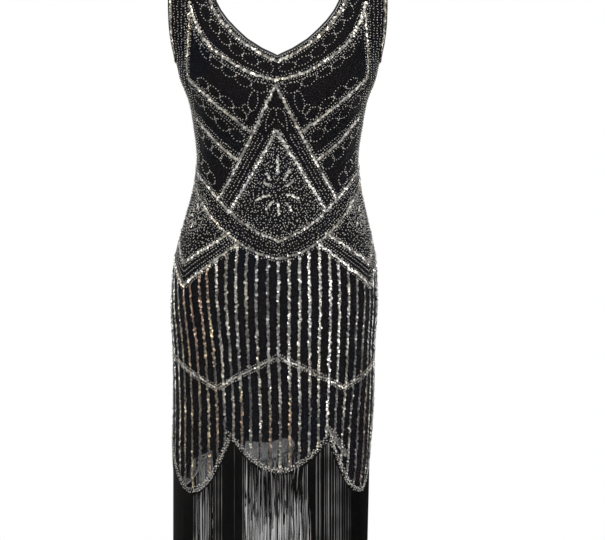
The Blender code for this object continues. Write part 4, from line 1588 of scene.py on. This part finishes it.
# %% Sewing them on
def joined(name, placed, faces, material, smooth, **attributes):
    """One mesh of many copies: placed holds each copy's points, and faces one copy's triangles."""
    count, each = placed.shape[:2]
    all_faces = faces[None] + (np.arange(count) * each)[:, None, None]
    mesh = bpy.data.meshes.new(name)
    mesh.vertices.add(count * each)
    mesh.vertices.foreach_set("co", placed.astype(np.float32).ravel())
    mesh.loops.add(all_faces.size)
    mesh.loops.foreach_set("vertex_index", all_faces.astype(np.int32).ravel())
    mesh.polygons.add(all_faces.size // 3)
    mesh.polygons.foreach_set("loop_start", np.arange(0, all_faces.size, 3, dtype=np.int32))
    for key, values in attributes.items():
        attribute = mesh.attributes.new(key, "FLOAT", "POINT")
        attribute.data.foreach_set("value", np.repeat(values, each).astype(np.float32))
    mesh.update(calc_edges=True)
    mesh.validate()
    if smooth:
        mesh.shade_smooth()
    else:
        mesh.shade_flat()
    mesh.materials.append(material)
    print(name, count, "copies,", len(mesh.polygons), "triangles")
    return put(name, mesh)


def copies(name, model, rows, material, smooth):
    """One mesh of a model copied to all its places."""
    points, faces = model
    spot_points, out = place(rows["column"], rows["level"])
    along = unit(rows["along"] - out * (rows["along"] * out).sum(1, keepdims=True))
    across = np.cross(out, along)
    lean = rows["lean"][:, None]
    roll = rng.normal(0, ROLL_SPREAD, (len(lean), 1)) * (lean != 0)
    x_axis = along * np.cos(lean) + out * np.sin(lean)
    y_axis = unit(across * np.cos(roll) + out * np.sin(roll))
    z_axis = unit(np.cross(x_axis, y_axis))
    axes = np.stack([x_axis, y_axis, z_axis], axis=1)
    placed = np.einsum("vi,nij->nvj", points, axes) * rows["size"][:, None, None]
    placed += (spot_points + out * rows["lift"][:, None])[:, None, :]
    return joined(name, placed, faces, material, smooth, **{key: rows[key] for key in ("tint", "shine", "gleam")})


def gathered(kind, area, back):
    """All places of a kind in an area that lie on the back or the front."""
    rows = {key: np.concatenate([row[key] for row in heap[kind, area]]) for key in heap[kind, area][0]}
    here = (np.abs(wrapped(rows["column"])) > SEAM_COLUMN) == back
    return {key: value[here] for key, value in rows.items()}


worked = {}
for kind, finish in (("sequin", SEQUIN_FINISH), ("bead", BEAD_FINISH)):
    for area in ("bodice", "skirt", "hem"):
        for back in (False, True):
            name = f"{area}_{kind}s_{'back' if back else 'front'}"
            worked[name] = copies(name, MODELS[kind], gathered(kind, area, back), finish, kind == "bead")

# %% [markdown]
# ## The fringe
# Long rayon threads hang from a tape behind the scallops. A thread hangs straight, but threads cling together
# in locks, and gaps open between the locks towards the end. Each thread is a thin three-sided tube on a path of
# its own, and the path bends towards its lock.

# %% Threads
THREAD_RADIUS = 0.00033
THREAD_RINGS = 7
THREAD_SIDES = 3
THREAD_PITCH = 0.0008  # along the edge of the scallops
FRINGE_END = 0.19
LOCK = 4.0  # threads that cling together
LOCK_MIX = 0.6  # of a thread's place in the row, so that locks are uneven
LOCK_STRAY = 0.0005
HUG = 0.15  # how far a thread goes over to its lock
HUG_SPREAD = 0.1
HUG_CURVE = 1.6  # keeps it straight at the top
SWAY = 0.0004
SWAY_WAVE = 4.2  # radians from root to end
TAPER = 0.25
LEAST_LENGTH = 0.003
TAPE_DEPTH = 0.0011
LONG_KEPT = 0.96  # share of the long row where the fringe is thin
BACK_KEPT = 0.55  # and of the back's, behind the sheer scallop on the wearer's right

Row = namedtuple("Row", "name pitch depth radius")
ROWS_OF_THREAD = rows_of(
    Row,
    # This row's threads carry a painted highlight.
    ("bright", THREAD_PITCH * 5.4, TAPE_DEPTH * 0.6, THREAD_RADIUS * 1.15),
    ("long", THREAD_PITCH, TAPE_DEPTH, THREAD_RADIUS),
    ("under", THREAD_PITCH, TAPE_DEPTH * 2.0, THREAD_RADIUS),
    ("thick", THREAD_PITCH * 0.7, TAPE_DEPTH * 3.0, THREAD_RADIUS),
)
# The next two go by the front's column. The first says how many places are filled in the row whose threads carry a
# painted highlight, and the second at what height the row behind stops, which leaves the middle thin.
PAINTED_HIGHLIGHT_SHARE = (
    (-9.7, 0.0), (-9.4, 0.66), (-7.4, 0.66), (-7.1, 0.3), (-6.2, 0.2), (-5.9, 0.03), (-4.1, 0.1), (-3.7, 0.66),
    (3.2, 0.66), (3.5, 0.2), (3.9, 0.5), (8.0, 0.65), (8.3, 0.0),
)
UNDER_ENDS = (
    (-9.8, -1.06), (-9.5, -0.85), (-7.5, -0.85), (-7.3, -1.06), (-6.8, -0.992), (-5.2, -0.976), (-5.0, -1.06),
    (-4.0, -1.06), (-3.8, -0.947), (-2.6, -0.95), (-2.3, -0.968), (-0.6, -0.968), (-0.3, -0.956), (1.2, -0.953),
    (1.5, -0.94), (2.9, -0.938), (3.3, -0.958), (3.5, -1.06),
)
THIN = ((-9.6, -7.4), (-4.0, 3.4))  # the front's columns with no third row
JAG = 0.006  # of the ends of the row behind, by locks
FRAY = 0.004  # of the ends of the threads
PAINTED_HIGHLIGHT_ROW_FROM = 0.0045  # below the edge, so that a dark line runs under it
LEAN_IN = ((10.5, 0.0), (12.0, 0.0045), (15.5, 0.0045), (17.5, 0.0))  # how far the ends hang inward, by column
EDGE_SPOTS = 1200


def thread_material():
    s = Shading("rayon thread")
    u, v = s.along_cloth()
    twist = (u * 6.2832 + v * 2400.0).wave()
    black = s.mottled(55.0, (0.003, 0.003, 0.0035), (0.007, 0.0065, 0.0065))
    # Painted highlight: threads that carry one are mixed from black towards light grey, in patches along their
    # length, as if they caught the light.
    painted_highlight_patches = s.noise(26.0, 1.0)
    painted_light = s.attribute("sheen") * (0.05 + 3.0 * painted_highlight_patches * painted_highlight_patches)
    return s.surface_is(
        Base_Color=s.mix(painted_light, black, (0.66, 0.66, 0.67)),
        Roughness=0.42 + 0.1 * s.noise(200.0),
        Normal=s.bump(twist, 0.0002),
        Specular_IOR_Level=0.1,
    )


THREAD = thread_material()


def edge_line(columns):
    """Points of the scalloped edge at columns, and the way out there."""
    points, out = place(columns, level_at(net_hem(columns)))
    return points, unit(out * [1.0, 1.0, 0.0])


def edge_places(back, pitch):
    """Columns of even places along the scallops of the front or the back."""
    start = SEAM_COLUMN if back else -SEAM_COLUMN
    columns = np.linspace(start, start + BACK_COLUMN, EDGE_SPOTS)
    run = run_along(edge_line(columns)[0])
    count = int(run[-1] / pitch)
    at = (np.arange(count) + rng.uniform(0.2, 0.8, count)) * run[-1] / count
    return np.interp(at, run, columns)


FRONT_COLUMNS = np.linspace(-SEAM_COLUMN, SEAM_COLUMN, 281)
FRONT_WIDTHS = edge_line(FRONT_COLUMNS)[0][:, 0]


def facing(roots):
    """The front's column that each root hangs at or behind."""
    return np.interp(roots[:, 0], FRONT_WIDTHS, FRONT_COLUMNS)


def thread_columns(row, back):
    """Columns of a row's threads. The third row leaves the thin places, and some of the long row does."""
    columns = edge_places(back, row.pitch)
    seen_at = facing(edge_line(columns)[0])
    thin = np.any([(seen_at > start) & (seen_at < stop) for start, stop in THIN], axis=0)
    if row.name == "bright":
        return columns[rng.uniform(size=len(columns)) < read_off(PAINTED_HIGHLIGHT_SHARE, seen_at)]
    if row.name == "long":
        share = np.where((seen_at < THIN[0][1]) & back, BACK_KEPT, LONG_KEPT)
        kept = np.diff(np.floor(np.cumsum(share)), prepend=0.0) > 0
        return columns[~thin | kept]
    return columns[~thin] if row.name == "thick" else columns


def thread_paths(row, back):
    """Centre lines of a row of threads, with the way out, the way aside and the painted highlight of each."""
    columns = thread_columns(row, back)
    roots, out = edge_line(columns)
    aside = np.cross([0.0, 0.0, 1.0], out)
    seen_at = facing(roots)
    bright = row.name == "bright"
    roots = roots - out * row.depth - [0.0, 0.0, PAINTED_HIGHLIGHT_ROW_FROM * bright]
    count = len(roots)
    lock = np.floor(np.arange(count) / LOCK + rng.uniform(0, LOCK_MIX, count))
    names, lock = np.unique(lock, return_inverse=True)
    lock_spots = np.array([roots[lock == number].mean(axis=0) for number in range(len(names))])
    lock_spots[:, :2] += rng.normal(0, LOCK_STRAY, (len(names), 2))
    pull = np.clip(HUG + rng.normal(0, HUG_SPREAD, count), 0.0, 1.0)[:, None, None] * (not bright)
    share = np.linspace(0.0, 1.0, THREAD_RINGS)[None, :, None]
    ends = FRINGE_END - PAINTED_HIGHLIGHT_ROW_FROM * bright - np.abs(rng.normal(0, FRAY, count))
    if row.name == "under":
        stops = read_off(UNDER_ENDS, seen_at) + rng.normal(0, JAG, len(names))[lock]
        ends = np.clip(roots[:, 2] - stops - np.abs(rng.normal(0, FRAY / 2, count)), LEAST_LENGTH, ends)
    sway = (rng.normal(0, SWAY / 2 if bright else SWAY, (count, 1)) * aside)[:, None]
    sway = sway * np.sin(share * SWAY_WAVE)
    flat = ((lock_spots[lock] - roots) * [1.0, 1.0, 0.0])[:, None]
    inward = (out * read_off(LEAN_IN, columns)[:, None])[:, None]
    drop = ends[:, None, None] * share * [0.0, 0.0, 1.0]
    paths = roots[:, None] + flat * pull * share**HUG_CURVE + sway - inward * share - drop
    # Only the painted-highlight row gets a painted highlight, each thread its own amount.
    return paths, out, aside, rng.uniform(0.35, 1.0, count) ** 2 * bright


print("threads every", THREAD_PITCH * 1000, "mm")

# %% [markdown]
# The tube itself is a grid rolled up: three squares round and six down. It is modelled once, and its rings are
# then moved onto each thread's path.


# %% Fringe meshes
def model_thread():
    """A three-sided tube from height 0 to height 1, with even rings."""
    work = bmesh.new()
    bmesh.ops.create_grid(work, x_segments=THREAD_SIDES, y_segments=THREAD_RINGS - 1, size=0.5)
    for vert in work.verts:
        around = (vert.co.x + 0.5) * 2 * math.pi
        vert.co = (math.cos(around), math.sin(around), vert.co.y + 0.5)
    close_up(work)
    return model_of(work)


def thread_places(model, row, back):
    """The tube's points on every thread of a row, and each thread's painted highlight."""
    points = model[0]
    paths, out, aside, sheen = thread_paths(row, back)
    ring = np.rint(points[:, 2] * (THREAD_RINGS - 1)).astype(int)
    thick = row.radius * (1 - TAPER * points[:, 2])
    placed = paths[:, ring] + aside[:, None] * (points[:, 0] * thick)[None, :, None]
    return placed + out[:, None] * (points[:, 1] * thick)[None, :, None], sheen


def make_fringe(name, back):
    model = model_thread()
    rows = [thread_places(model, row, back) for row in ROWS_OF_THREAD]
    placed, sheen = (np.concatenate(parts) for parts in zip(*rows, strict=True))
    obj = joined(name, placed, model[1], THREAD, True, sheen=sheen)
    points = model[0]
    turns = np.arctan2(points[:, 1], points[:, 0]) / (2 * math.pi)
    flat = np.tile(np.stack([turns, points[:, 2] * FRINGE_END], axis=1), (len(placed), 1))
    corner_points = np.zeros(len(obj.data.loops), dtype=np.int32)
    obj.data.loops.foreach_get("vertex_index", corner_points)
    uv = obj.data.uv_layers.new(name="cloth")
    uv.data.foreach_set("uv", flat[corner_points].astype(np.float32).ravel())
    return obj


fringe_front = make_fringe("fringe_threads_front", False)
fringe_back = make_fringe("fringe_threads_back", True)

# %% [markdown]
# ## Joining the frame
# Every piece rides on the dress's one body. The net stands for the shell's solids, and so on for the rest, and
# those solids are hidden.

# %% What stands for what
STANDS_FOR = (
    (net_front, "shell_cloth", ("shell_front",)),
    (net_back, "shell_cloth", ("shell_back",)),
    (slip_front, "lining_cloth", ("lining_front",)),
    (slip_back, "lining_cloth", ("lining_back",)),
    (neck_edge, "binding", ("neck_binding",)),
    (arm_left, "binding", ("armhole_binding_left",)),
    (arm_right, "binding", ("armhole_binding_right",)),
    (worked["hem_sequins_front"], "beading", ("hem_beading_front",)),
    (worked["hem_sequins_back"], "beading", ("hem_beading_back",)),
    (fringe_front, "fringe", ("fringe_front",)),
    (fringe_back, "fringe", ("fringe_back",)),
)
for piece, slot, nodes in STANDS_FOR:
    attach(piece, "root")
    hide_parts(*nodes)
for name, piece in worked.items():
    if "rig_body" not in piece:
        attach(piece, "root")

print(len(STANDS_FOR), "pieces stand for solids")
